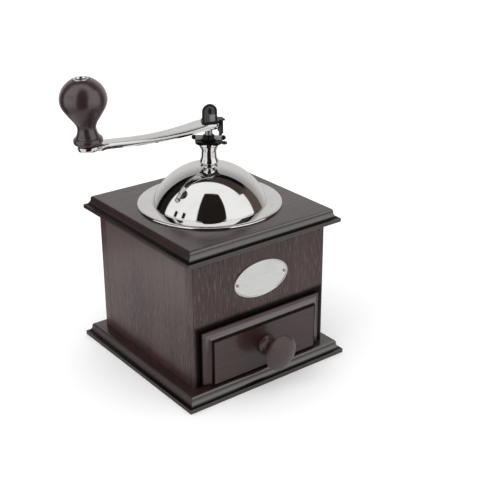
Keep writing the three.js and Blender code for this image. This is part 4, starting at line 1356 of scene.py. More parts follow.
@dataclass
class Drawer:
    """The drawer: its moulded front, the turned knob and the pale box behind."""

    front_half: float = 50.5
    front_low: float = 11.6
    front_top: float = 50.3
    front_face: float = -58.3
    edge: Moulding = Moulding(lip=2.0, run=6.6, thickness=5.7, shoulder=0.10)
    box_ease: float = 0.3
    box_nodes: tuple[str, ...] = ("drawer_left_side", "drawer_right_side", "drawer_back", "drawer_bottom")
    knob_height: float = 28.0
    knob_length: float = 19.5
    knob_foot: float = 7.4
    knob_neck: float = 5.2
    knob_cap: float = 12.9
    foot_ease: float = 0.4
    foot_end: float = 0.07
    foot_line: Profile = ((1.0, 0.11),)
    neck_line: Profile = ((1.18, 0.2), (1.0, 0.36), (1.3, 0.52))
    cap_line: Profile = ((0.60, 0.65), (0.88, 0.75), (1.0, 0.83), (0.95, 0.88), (0.72, 0.94), (0.38, 0.985),
                         (0.0, 1.0))

    def build(self) -> None:
        """Builds the front, the knob and the box."""
        half = (self.front_top - self.front_low + self.edge.run) / 2
        front = self.edge.board(self.front_half, half)
        front.tipped(90, "X").moved(0, self.front_face, self.front_top - half)
        front.sliced((0, 0, self.front_low), -UP, keep=False)
        front.done("drawer_front", DRAWER_WOOD, Body.DRAWER, "stained_wood", weighted=True)
        self.knob()
        for node in self.box_nodes:
            low, high = (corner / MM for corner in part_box(node))
            board = Workpiece.block(low, high).eased(self.box_ease, 2)
            board.done(node, BEECH, Body.DRAWER, "pale_wood", weighted=True)

    def knob(self) -> None:
        """Turns the drawer knob on its axis towards -Y, from shares of its foot, neck and cap."""
        length, foot, ease = self.knob_length, self.knob_foot, self.foot_ease
        stem = [*scaled(self.foot_line, foot, length), *scaled(self.neck_line, self.knob_neck, length),
                *scaled(self.cap_line, self.knob_cap, length)]
        ring = [(0, 0), (foot - ease, 0), (foot, ease), (foot, length * self.foot_end)]
        knob = Workpiece.turned([*ring, *flowing(stem, 6)], 96)
        knob.tipped(90, "X").moved(0, self.front_face - self.edge.thickness, self.knob_height)
        knob.done("drawer_knob", KNOB_WOOD, Body.DRAWER, "stained_wood")


@dataclass
class DomedHopper:
    """The chromed flange, the dome with its filling port, the shutter inside and the hourglass neck."""

    board_top: float = 113.0
    flange_in: float = 37.2
    flange_out: float = 50.8
    flange_rise: float = 1.8
    flange_edge: Profile = ((-0.5, 0.0), (-0.06, 0.4), (0.0, 0.8), (-0.28, 1.3), (-0.95, 1.64), (-1.9, 1.77),
                            (-2.6, 1.8))
    dome_base: float = 40.6
    dome_rise: float = 27.7
    dome_wall: float = 1.0
    dome_column: float = 2.5
    row: float = 1.25
    port_middle: float = 52.3
    port_half: float = 35.0
    port_polar: Pair = (32.0, 60.0)
    shutter_half: float = 42.0
    shutter_polar: Pair = (12.0, 63.0)
    shutter_wall: float = 0.8
    shutter_gap: float = 0.4
    shutter_column: float = 2.0
    shutter_knob_polar: float = 54.0
    shutter_knob_turn: float = 21.8
    shutter_knob_stem: Profile = ((0.0, -1.1), (0.9, -1.1), (0.9, 0.3), (1.45, 0.3), (1.35, 1.9),
                                  (1.75, 2.2))
    shutter_knob_cap: Profile = ((2.0, 2.6), (2.0, 3.5), (1.6, 4.0), (0.0, 4.2))
    hole: float = 4.9
    neck_rise: float = 14.5
    neck_bore: float = 3.7
    neck_tail: float = 4.6
    neck_foot: float = 5.2
    neck_seat: float = 6.5
    neck_line: Profile = (
        (6.05, 0.016), (6.5, 0.05), (6.65, 0.095), (6.3, 0.166), (5.75, 0.24), (5.45, 0.31), (5.35, 0.41),
        (5.25, 0.52), (5.22, 0.61), (5.6, 0.69), (6.1, 0.765), (6.6, 0.835), (6.85, 0.9), (6.8, 0.95))
    neck_mouth: Profile = ((6.6, -0.25), (6.2, 0.0))
    bowl_out: float = 46.2
    bowl_in: Pair = (40.6, 41.0)
    bowl_seat: Pair = (-2.3, -1.5)
    bowl_wall: Profile = ((40.0, -2.1), (32.0, -12.0), (24.0, -22.6), (21.0, -23.5))
    bowl_under: Profile = ((21.5, -24.5), (24.6, -23.8), (33.0, -12.7), (41.0, -2.7))
    bowl_hole: float = 15.0
    sphere: float = field(init=False)
    centre: float = field(init=False)

    def __post_init__(self) -> None:
        """Works out the dome's ball from its base and rise."""
        self.sphere = (self.dome_base ** 2 + self.dome_rise ** 2) / (2 * self.dome_rise)
        self.centre = self.board_top + self.flange_rise + self.dome_rise - self.sphere

    def build(self) -> None:
        """Builds the flange, dome, shutter, neck and bowl."""
        self.flange()
        self.dome()
        self.shutter()
        self.shutter_knob()
        self.neck()
        self.bowl()

    def flange(self) -> None:
        """Turns the flat flange ring with its rolled outer edge."""
        low = self.board_top
        rim = flowing(shifted(self.flange_edge, self.flange_out, low), 6)
        ring = Workpiece.turned([(self.flange_in, low), *rim, (self.flange_in, low + self.flange_rise)],
                                192, ring=True)
        ring.done("flange_ring", CHROME, Body.CASE, "chrome")

    def skin(self, radius: float, stops: Sequence[float], step: float, start: float) -> Workpiece:
        """Spins a bare skin of the ball, from the hole for the shaft outwards.

        Args:
            radius: radius of the skin.
            stops: polar angles that rows of edges must pass through, ending at the last.
            step: turn of one column of faces, in degrees.
            start: azimuth of the first column.

        Returns:
            The skin, with its faces outwards.
        """
        outline: Outline = []
        low = math.degrees(math.asin(self.hole / radius))
        for high in stops:
            rows = max(2, round((high - low) / self.row))
            outline.extend(arc(radius, self.centre, low, high, rows)[0 if not outline else 1:])
            low = high
        piece = Workpiece.spun(outline, round(360 / step), start=start)
        bm = piece.bm
        bmesh.ops.remove_doubles(bm, verts=bm.verts, dist=WELD)
        heart = Vector((0, 0, self.centre))
        inward = [face for face in bm.faces if face.normal.dot(face.calc_center_median() - heart) < 0]
        bmesh.ops.reverse_faces(bm, faces=inward)
        return piece

    def opened(self, piece: Workpiece, half: float, away: Callable[[bool, float], bool]) -> None:
        """Takes faces of a skin away.

        Args:
            piece: the skin.
            half: half angle of the sector about the port's middle, in degrees.
            away: says whether a face goes, from whether it is in the sector, and its polar angle.
        """
        gone = []
        for face in piece.bm.faces:
            middle = face.calc_center_median() - Vector((0, 0, self.centre))
            turn = math.degrees(math.atan2(middle.y, middle.x)) - self.port_middle
            inside = abs((turn + 180) % 360 - 180) < half
            if away(inside, math.degrees(middle.angle(UP))):
                gone.append(face)
        bmesh.ops.delete(piece.bm, geom=gone, context="FACES")

    def dome(self) -> None:
        """Spins the dome and opens its filling port."""
        last = math.degrees(math.asin(self.dome_base / self.sphere))
        dome = self.skin(self.sphere, (*self.port_polar, last), self.dome_column,
                         self.port_middle - self.port_half)
        low, high = self.port_polar
        self.opened(dome, self.port_half, lambda inside, polar: inside and low < polar < high)
        dome.done("dome_shell", CHROME, Body.CASE, "chrome", wall=self.dome_wall)

    def shutter(self) -> None:
        """Spins the shutter: a sector of shell on a round hub."""
        hub = self.shutter_polar[0]
        shutter = self.skin(self.shutter_radius(), self.shutter_polar, self.shutter_column,
                            self.port_middle - self.shutter_half)
        self.opened(shutter, self.shutter_half, lambda inside, polar: not inside and polar > hub)
        shutter.done("shutter", STEEL, Body.SHUTTER, "steel", wall=self.shutter_wall)

    def shutter_radius(self) -> float:
        """Works out the radius of the shutter's outer side."""
        return self.sphere - self.dome_wall - self.shutter_gap

    def shutter_knob(self) -> None:
        """Turns the small knob that pushes the shutter round."""
        knob = Workpiece.turned([*self.shutter_knob_stem, *flowing(self.shutter_knob_cap, 4)], 40)
        knob.moved(0, 0, self.shutter_radius()).tipped(self.shutter_knob_polar, "Y")
        knob.moved(0, 0, self.centre).tipped(self.shutter_knob_turn, "Z")
        knob.done("shutter_knob", BLACK, Body.SHUTTER, "black_steel")

    def neck(self) -> None:
        """Turns the hourglass neck."""
        apex = self.board_top + self.flange_rise + self.dome_rise
        top = apex + self.neck_rise
        seat = self.centre + math.sqrt(self.sphere ** 2 - self.neck_seat ** 2) + GAP
        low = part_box("neck_sleeve")[0].z / MM
        waist = flowing(scaled(self.neck_line, up=self.neck_rise, base=apex), 5)
        neck = Workpiece.turned([(self.neck_bore, low), (self.neck_tail, low), (self.neck_tail, seat),
                                 (self.neck_foot, seat), *waist, *shifted(self.neck_mouth, 0, top),
                                 (self.neck_bore, top)], 96, ring=True)
        neck.done("neck_sleeve", CHROME, Body.CASE, "chrome", sharp=32)

    def bowl(self) -> None:
        """Turns the steel bowl that the port opens on to, with its levels from the board's top."""
        seat, rim = self.bowl_seat
        wall, under = flowing(self.bowl_wall, 6), flowing(self.bowl_under, 6)
        line = [(self.bowl_out, seat), (self.bowl_out, rim), (self.bowl_in[0], rim), *wall,
                (self.bowl_hole, wall[-1][1]), (self.bowl_hole, under[0][1]), *under,
                (self.bowl_in[1], seat)]
        bowl = Workpiece.turned(shifted(line, 0, self.board_top), 144, ring=True)
        bowl.done("hopper_bowl", STEEL, Body.CASE, "steel", sharp=35)


@dataclass
class CrankPart:
    """What the pieces of the crank share: its turn, the knob's leaning axis and the arm's levels."""

    turn: float = 164.75
    reach: float = 83.3
    lean: float = 3.0
    hub_top: float = 171.85
    pad_top: float = 165.62
    skin: float = 1.2

    def placed(self, piece: Workpiece) -> Workpiece:
        """Turns a piece that was made along +X to where the crank stands."""
        return piece.tipped(self.turn, "Z")

    def on_knob_axis(self, piece: Workpiece) -> Workpiece:
        """Stands a piece on the knob's leaning axis."""
        return self.placed(piece.tipped(self.lean, "Y").moved(self.reach, 0, self.pad_top))


@dataclass
class CrankArm(CrankPart):
    """The arm, pressed from sheet, with the round pad at its end and the black nut on the shaft."""

    hub_half: float = 8.0
    tip_half: float = 5.3
    end: float = 7.7
    depth: float = 3.8
    bend: float = 1.05
    low_top: float = 166.5
    run_out: float = 3.0
    hub_flat: float = -2.0
    pad_approach: Pair = (0.4, 0.04)
    pad_lap: float = 2.4
    plan_shares: tuple[float, ...] = (0.0, 0.2, 0.3, 0.7)
    fall_line: Profile = ((0.03, 0.0), (0.1, 0.16), (0.2, 0.44), (0.34, 0.74), (0.48, 0.93), (0.63, 1.0),
                          (0.78, 0.97))
    plan_steps: int = 28
    rows: int = 32
    columns: tuple[float, ...] = (-3.4, -1.7, 0.0, 1.7, 3.4)
    pad: float = 7.6
    pad_sheet: float = 1.4
    pad_skirt: float = 3.0
    pad_hole: float = 2.8
    pad_bend: float = 0.4
    pad_ease: float = 0.15
    pad_edge: Profile = ((0.0, -0.9), (-0.12, -0.45), (-0.42, -0.12), (-0.9, 0.0))
    nut_line: Profile = ((2.2, 0.0), (2.7, 0.0), (2.9, 0.2), (2.9, 1.6), (2.6, 1.9), (2.2, 1.9))
    curve: Outline = field(init=False)

    def __post_init__(self) -> None:
        """Draws the side view of the arm's top."""
        self.curve = self.top_curve()

    def build(self) -> None:
        """Builds the arm, its pad and the nut."""
        self.arm()
        self.round_pad()
        self.nut()

    def top_curve(self) -> Outline:
        """Draws the top of the arm from the side.

        Returns:
            Points as (reach, height).
        """
        fall = self.hub_top - self.low_top
        slope = math.tan(math.radians(self.lean))
        start, far = self.reach - self.pad, self.pad + self.run_out
        before, above = self.pad_approach
        points = [(-self.end - self.run_out, self.hub_top), (self.hub_flat, self.hub_top),
                  *scaled(self.fall_line, self.reach, -fall, self.hub_top),
                  (start - self.pad * before, self.low_top + fall * above),
                  (start, self.pad_top + slope * self.pad)]
        return [*flowing(points, 5), (self.reach + far, self.pad_top - slope * far)]

    def height_at(self, x: float) -> float:
        """Reads the height of the arm's top.

        Args:
            x: reach along the arm.

        Returns:
            The height.
        """
        for (x0, z0), (x1, z1) in zip(self.curve, self.curve[1:]):
            if x <= x1:
                return z0 + (z1 - z0) * (x - x0) / (x1 - x0)
        return self.curve[-1][1]

    def plan(self) -> Outline:
        """Draws the arm from above: round behind the shaft, narrowing to the pad.

        Returns:
            Points as (reach, side).
        """
        hub, tip, steps = self.hub_half, self.tip_half, self.plan_steps
        neck = self.reach - self.pad + self.pad_lap
        side = [Vector((self.reach * share, half, 0))
                for share, half in zip(self.plan_shares, (hub, hub, tip, tip))]
        upper = [(place.x, place.y) for place in interpolate_bezier(*side, steps)]
        round_end = [(-self.end * math.sin(a), hub * math.cos(a)) for a in angles(math.pi, steps)[1:-1]]
        lower = [(x, -y) for x, y in upper]
        return [(neck, tip), *reversed(upper), *round_end, *lower, (neck, -tip)]

    def arm(self) -> None:
        """Presses the arm from sheet: a channel whose edges are turned down."""
        sheet = Workpiece()
        bm = sheet.bm
        face = bm.faces.new([bm.verts.new((x, y, 0.0)) for x, y in self.plan()])
        made = bmesh.ops.extrude_edge_only(bm, edges=bm.edges[:])["geom"]
        bmesh.ops.translate(bm, vec=(0, 0, -self.depth), verts=picked(bmesh.types.BMVert, made))
        bmesh.ops.recalc_face_normals(bm, faces=bm.faces)
        if face.normal.z < 0:
            bmesh.ops.reverse_faces(bm, faces=bm.faces)
        sheet.eased(self.bend, 5, 60.0, where=lambda place: place.z > -0.1)
        for row in range(1, self.rows - 2):
            sheet.sliced((self.reach * row / self.rows, 0, 0), (1, 0, 0))
        for y in self.columns:
            sheet.sliced((0, y, 0), (0, 1, 0))
        sheet.shaped(lambda co: Vector((co.x, co.y, co.z + self.height_at(co.x))))
        self.placed(sheet)
        sheet.done("crank_arm", CHROME, Body.CRANK, "chrome", sharp=60, wall=self.skin)

    def round_pad(self) -> None:
        """Turns the pad that the knob stands on."""
        out, low, under, hole = self.pad, -self.pad_skirt, -self.pad_sheet, self.pad_hole
        well, bend, ease = self.pad - self.skin, self.pad_bend, self.pad_ease
        edge = flowing(shifted(self.pad_edge, out, 0), 4)
        pad = Workpiece.turned([(hole, under), (well - bend, under), (well, under - bend), (well, low),
                                (out - ease, low), (out, low + ease), *edge, (hole, 0)], 96, ring=True)
        self.on_knob_axis(pad)
        pad.done("crank_pad", CHROME, Body.CRANK, "chrome", replaces=("crank_arm",), sharp=60)

    def nut(self) -> None:
        """Cuts the black hexagon nut on the end of the shaft."""
        nut = Workpiece.turned(shifted(self.nut_line, 0, self.hub_top + GAP), 6, ring=True)
        self.placed(nut)
        nut.done("crank_nut", DARK_STEEL, Body.CRANK, "black_steel", sharp=25)


@dataclass
class Catch(CrankPart):
    """The bent black catch: a plate round the nut, a strap behind the arm and a tab with a lighter face and
    step.
    """

    sheet: float = 1.0
    half: float = 7.6
    front: float = 4.8
    bevel: float = 3.2
    ease: float = 0.22
    bore: float = 3.5
    strap: Pair = (-9.2, -8.0)
    strap_half: float = 4.0
    strap_low: float = 163.3
    bridge_end: float = -7.1
    tongue_half: float = 1.6
    tongue: Pair = (159.5, 164.0)
    ledge: Pair = (-11.0, -8.9)
    ledge_half: float = 3.0
    hook_half: float = 1.8
    hook_drop: float = 2.4
    toe: float = 1.4
    toe_height: float = 0.8
    tab_half: float = 5.25
    tab_rise: float = 12.9
    tab_rim: float = 1.35
    tab_place: Triple = (1.65, 7.6, 0.0)
    recess_foot: float = 0.6
    recess_depth: float = 0.5
    fit: float = 0.02
    face_depth: Pair = (0.3, 0.52)
    step_depth: Pair = (0.12, 0.52)
    step_end: float = 0.1
    step_ease: float = 0.08
    step_drop: float = 7.4
    hole_drop: float = 4.9
    hole_depth: float = 0.8
    hole_shape: Triple = (1.2, 2.1, 1.0)
    low: float = field(init=False)
    top: float = field(init=False)
    crown: float = field(init=False)

    def __post_init__(self) -> None:
        """Works out the levels of the plate and the height of the tab."""
        self.low = self.hub_top + GAP
        self.top = self.low + self.sheet
        self.crown = self.top + self.tab_rise

    def build(self) -> None:
        """Bends the catch and sets the lighter face and the step into its tab."""
        body = self.plate()
        body.joined(*self.bars(), self.tab())
        body.cut(Workpiece.drill(self.bore, self.low, self.top, 48))
        body.eased(self.ease, 2, CLEAR_EDGE)
        self.placed(body)
        body.done("catch_lever", BLACK, Body.CATCH, "black_steel", sharp=35, weighted=True)
        for name, piece, finish in (("catch_face", self.tab_face(), DARK_STEEL),
                                    ("catch_step", self.tab_step(), GREY)):
            self.placed(piece)
            piece.done(name, finish, Body.CATCH, "black_steel", replaces=("catch_lever",),
                       sharp=35)

    def plate(self) -> Workpiece:
        """Cuts the plate: round behind the nut, with one bevelled corner in front.

        Returns:
            The plate.
        """
        half, front, depth = self.half, self.front, self.strap[1] + GAP
        behind = [(depth * math.sin(a), half * math.cos(a)) for a in angles(math.pi, 20)[1:-1]]
        outline = [(front - self.bevel, -half), (front, -self.hook_half), (front, half), (0, half),
                   *behind, (0, -half)]
        return Workpiece.plate(outline, self.low, self.top)

    def bars(self) -> list[Workpiece]:
        """Saws the strap, its bridge, tongue and ledge, and the hook in front with its toe.

        Returns:
            The six bars.
        """
        (outer, inner), foot = self.strap, self.hub_top - self.skin - self.hook_drop
        hook = self.front - self.sheet
        sizes = ((outer, inner, self.strap_half, self.strap_low, self.top),
                 (outer, self.bridge_end, self.strap_half, self.low, self.top),
                 (outer, inner, self.tongue_half, *self.tongue),
                 (*self.ledge, self.ledge_half, self.low, self.top),
                 (hook, self.front, self.hook_half, foot, self.top),
                 (hook, self.front + self.toe, self.hook_half, foot, foot + self.toe_height))
        return [Workpiece.block((near, -half, low), (far, half, high))
                for near, far, half, low, high in sizes]

    @staticmethod
    def arch(half: float, low: float, tall: float) -> Outline:
        """Draws an upright arch.

        Args:
            half: half its width.
            low: height of its foot.
            tall: height of its crown.

        Returns:
            Points as (reach, height).
        """
        crown = [(half * math.cos(turn), tall - half + half * math.sin(turn))
                 for turn in angles(math.pi, 24)]
        return [(-half, low), (half, low), *crown]

    def tab(self) -> Workpiece:
        """Shapes the upright tab: a raised rim round a recess with a blind oval hole.

        Returns:
            The tab along one edge of the plate.
        """
        recess = self.arch(self.tab_half - self.tab_rim, self.top + self.recess_foot,
                           self.crown - self.tab_rim)
        tab = Workpiece.plate(self.arch(self.tab_half, self.low, self.crown), 0, self.sheet)
        tab.cut(Workpiece.plate(recess, -1.0, self.recess_depth), self.tab_hole(self.hole_depth))
        return tab.tipped(90, "X").moved(*self.tab_place)

    def tab_face(self) -> Workpiece:
        """Shapes the face inside the tab's rim.

        Returns:
            The face, along the same edge of the plate as the tab.
        """
        half, low = self.tab_half - self.tab_rim - self.fit, self.top + self.recess_foot + self.fit
        face = Workpiece.plate(self.arch(half, low, self.crown - self.tab_rim - self.fit), *self.face_depth)
        corner = (self.step_end + 2 * self.fit, self.crown - self.step_drop + 2 * self.fit, 1)
        face.cut(Workpiece.block((-half - 1, self.top, 0), corner), self.tab_hole(1.0))
        return face.tipped(90, "X").moved(*self.tab_place)

    def tab_step(self) -> Workpiece:
        """Shapes the small raised step low on the tab's face.

        Returns:
            The step, along the same edge of the plate as the tab.
        """
        wide, low = self.tab_half - self.tab_rim - self.fit, self.top + self.recess_foot + self.fit
        back, front = self.step_depth
        step = Workpiece.block((-wide, low, back), (self.step_end, self.crown - self.step_drop, front))
        return step.eased(self.step_ease, 2).tipped(90, "X").moved(*self.tab_place)

    def tab_hole(self, deep: float) -> Workpiece:
        """Turns the oval drill for the tab's hole.

        Args:
            deep: depth of the hole.

        Returns:
            The drill.
        """
        hole = Workpiece.rod(1.0, -1, deep, 32)
        bmesh.ops.scale(hole.bm, vec=self.hole_shape, verts=hole.bm.verts)
        return hole.moved(0, self.crown - self.hole_drop, 0)


@dataclass
class CrankKnob(CrankPart):
    """The pear-shaped knob with its bright cap, and the rivet that it turns on."""

    knob_top: float = 44.5
    bore: float = 2.8
    socket: float = 5.5
    socket_ease: float = 0.5
    pear: Profile = (
        (7.2, 0.3), (7.7, 0.7), (8.5, 1.15), (9.35, 1.75), (9.75, 2.6), (9.75, 4.0), (9.3, 5.0), (8.1, 6.0),
        (7.05, 7.9), (6.4, 10.0), (6.2, 11.9), (6.55, 13.7), (7.5, 15.6), (9.2, 18.1), (10.7, 20.2),
        (12.1, 22.3), (13.7, 24.8), (14.85, 27.3), (15.45, 29.6), (15.5, 31.6), (15.1, 34.1), (14.2, 36.6),
        (12.85, 39.0), (10.9, 41.2), (8.6, 43.1), (6.0, 44.5))
    cap: float = 5.2
    cap_low: float = -5.2
    cap_line: Profile = ((5.2, -0.1), (5.08, 0.22), (4.75, 0.4), (4.25, 0.3), (3.9, -0.2), (3.7, -1.0),
                         (3.5, -2.1), (0.0, -2.3))
    well: float = 3.5
    well_low: float = -3.2
    well_line: Profile = ((3.5, -1.7), (2.9, -1.95), (0.0, -2.1))
    pin: float = 2.5
    pin_length: float = 40.2
    pin_seat: float = -1.7
    pin_head: float = 4.6
    pin_crown: Profile = ((4.6, 0.3), (4.4, 0.95), (3.2, 1.45), (0.0, 1.6))

    def build(self) -> None:
        """Turns the knob, its cap, the cap's dark well and the rivet."""
        top, wall, floor = self.knob_top, self.cap + GAP, self.knob_top - self.socket
        knob = Workpiece.turned([(self.bore, GAP), *flowing(self.pear, 5), (wall, top - self.socket_ease),
                                 (wall, floor), (self.bore, floor)], 128, ring=True)
        cap = self.lid(self.cap, self.cap_low, self.cap_line, 96)
        well = self.lid(self.well, self.well_low, self.well_line, 72)
        rivet = Workpiece.turned([(0, -self.pin_length), (self.pin, -self.pin_length), (self.pin, 0),
                                  (self.pin_head, 0), *flowing(self.pin_crown, 5)], 72)
        rivet.tipped(180, "X").moved(0, 0, self.pin_seat)
        for piece in (knob, cap, well, rivet):
            self.on_knob_axis(piece)
        knob.done("crank_knob", TURNED_WOOD, Body.HANDLE, "stained_wood", sharp=50)
        cap.done("knob_cap", CHROME, Body.HANDLE, "chrome", sharp=50)
        well.done("knob_cap_well", DARK_STEEL, Body.HANDLE, "chrome", replaces=("knob_cap",))
        rivet.done("knob_pin", CHROME, Body.CRANK, "chrome")

    def lid(self, radius: float, low: float, line: Profile, sides: int) -> Workpiece:
        """Turns a lid whose levels are measured from the knob's top.

        Args:
            radius: radius of its wall.
            low: level of its underside.
            line: its upper side, as (radius, level).
            sides: number of facets round it.

        Returns:
            The lid.
        """
        outline = [(0, low), (radius, low), *flowing(line, 5)]
        return Workpiece.turned(shifted(outline, 0, self.knob_top), sides)


@dataclass
class Adjuster(CrankPart):
    """The lugged black thrust plate on the neck and the winged nut with ball ends above it."""

    bore: float = 2.85
    wing_angle: float = 153.5
    plate_low: float = 157.3
    plate_top: float = 158.7
    plate_rim: Profile = ((0.0, 0.0), (7.1, 0.0), (7.5, -0.75), (8.6, -0.8), (9.4, -0.35), (9.4, 1.4),
                          (0.0, 1.4))
    plate_half: float = 6.3
    lug_angle: float = 136.0
    lug: Pair = (5.0, 11.7)
    lug_half: float = 1.3
    lug_sheet: float = 0.8
    lug_eye: float = 1.8
    nut_low: float = 159.0
    nut_top: float = 162.5
    hub: Profile = ((0.0, 0.0), (5.0, 0.0), (5.1, 0.4), (4.6, 0.7), (4.1, 1.1), (4.0, 1.6), (4.0, 3.1),
                    (3.6, 3.5), (0.0, 3.5))
    ball: float = 1.7
    ball_reach: float = 10.1
    ball_height: float = 1.55
    wing: Triple = (9.9, 1.0, 0.6)
    wing_bore: float = 3.8
    wing_sink: float = 0.05
    wing_ease: float = 0.25
    plate_ease: float = 0.15

    def build(self) -> None:
        """Builds the plate and the nut."""
        self.plate()
        self.nut()

    def plate(self) -> None:
        """Shapes the thrust plate: a flat plate with a rim that hangs over the neck, and a lug."""
        low, top = self.plate_low, self.plate_top
        plate = Workpiece.turned(shifted(self.plate_rim, 0, low), 96)
        for side in (1, -1):
            plate.sliced((0, side * self.plate_half, 0), (0, side, 0), keep=False)
        plate.tipped(self.wing_angle, "Z")
        near, far = self.lug
        lug = Workpiece.block((near, -self.lug_half, top - self.lug_sheet), (far, self.lug_half, top))
        lug.joined(Workpiece.rod(self.lug_eye, low, top, 40).moved(far, 0, 0))
        plate.joined(lug.tipped(self.lug_angle, "Z"))
        plate.cut(Workpiece.drill(self.bore, low, top))
        self.placed(plate.eased(self.plate_ease, 2, CLEAR_EDGE))
        plate.done("thrust_plate", DARK_STEEL, Body.HEAD, "black_steel", sharp=35, weighted=True)

    def nut(self) -> None:
        """Shapes the nut: a black hub, a flat grey wing through it and a black ball on each end."""
        low, top = self.nut_low, self.nut_top
        hub = Workpiece.turned(shifted(self.hub, 0, low), 72)
        for side in (1, -1):
            ball = Workpiece.turned(arc(self.ball, low + self.ball_height, 0, 180, 16), 32)
            hub.beside(ball.moved(side * self.ball_reach, 0, 0).tipped(self.wing_angle, "Z"))
        self.placed(hub.cut(Workpiece.drill(self.bore, low, top)))
        hub.done("adjuster_nut", BLACK, Body.ADJUSTER, "black_steel", sharp=40)
        reach, half, drop = self.wing
        wing = Workpiece.block((-reach, -half, low - self.wing_sink), (reach, half, top - drop))
        wing.eased(self.wing_ease, 2, CLEAR_EDGE)
        wing.cut(Workpiece.drill(self.wing_bore, low, top, 72))
        self.placed(wing.tipped(self.wing_angle, "Z"))
        wing.done("adjuster_wing", CAST, Body.ADJUSTER, "black_steel",
                  replaces=("adjuster_nut",), sharp=35, weighted=True)


@dataclass
class ShaftSpring:
    """The coil round the shaft under the dome, with room below for the shaft to rise."""

    radius: float = 4.7
    wire: float = 0.6
    wire_sides: int = 12
    turns: int = 6
    steps: int = 32
    room: float = 0.5

    def build(self) -> None:
        """Winds the coil between the shaft's seat and the nut under the dome."""
        low, high = (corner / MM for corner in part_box("shaft_spring"))
        start = low.z + self.room + self.wire
        count = self.turns * self.steps
        climb = (high.z - self.wire - start) / count
        coil = Workpiece()
        place = Matrix.Translation((self.radius, 0.0, start)) @ Matrix.Rotation(math.pi / 2, 4, "X")
        bmesh.ops.create_circle(coil.bm, cap_ends=False, segments=self.wire_sides, radius=self.wire,
                                matrix=place)
        bmesh.ops.spin(coil.bm, geom=coil.bm.verts[:] + coil.bm.edges[:], cent=(0, 0, 0), axis=UP,
                       dvec=(0, 0, climb), angle=math.tau * self.turns, steps=count, use_merge=False,
                       use_duplicate=False)
        bmesh.ops.holes_fill(coil.bm, edges=[edge for edge in coil.bm.edges if edge.is_boundary])
        coil.cleaned()
        coil.done("shaft_spring", STEEL, Body.HEAD, "steel", sharp=50)


@dataclass
class HiddenWorks:
    """The parts inside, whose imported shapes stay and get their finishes."""

    finishes: dict[Finish, tuple[str, ...]] = field(default_factory=lambda: {
        STEEL: ("bowl_screw_1", "bowl_screw_2", "bowl_screw_3", "bowl_screw_4", "housing_screw_1",
                "housing_screw_2", "housing_screw_3", "outer_burr", "inner_burr", "burr_nut",
                "dome_nut", "drawer_knob_screw", "main_shaft"),
        IRON: ("burr_housing",),
        BRONZE: ("neck_bush",),
        BEECH: ("drawer_guide_left", "drawer_guide_right"),
    })

    def build(self) -> None:
        """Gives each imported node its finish."""
        for finish, nodes in self.finishes.items():
            for node in nodes:
                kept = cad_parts[node]
                kept.data.materials.clear()
                kept.data.materials.append(finish.material())
                log.info("%s keeps its packed shape, finished in %s", node, finish.name)


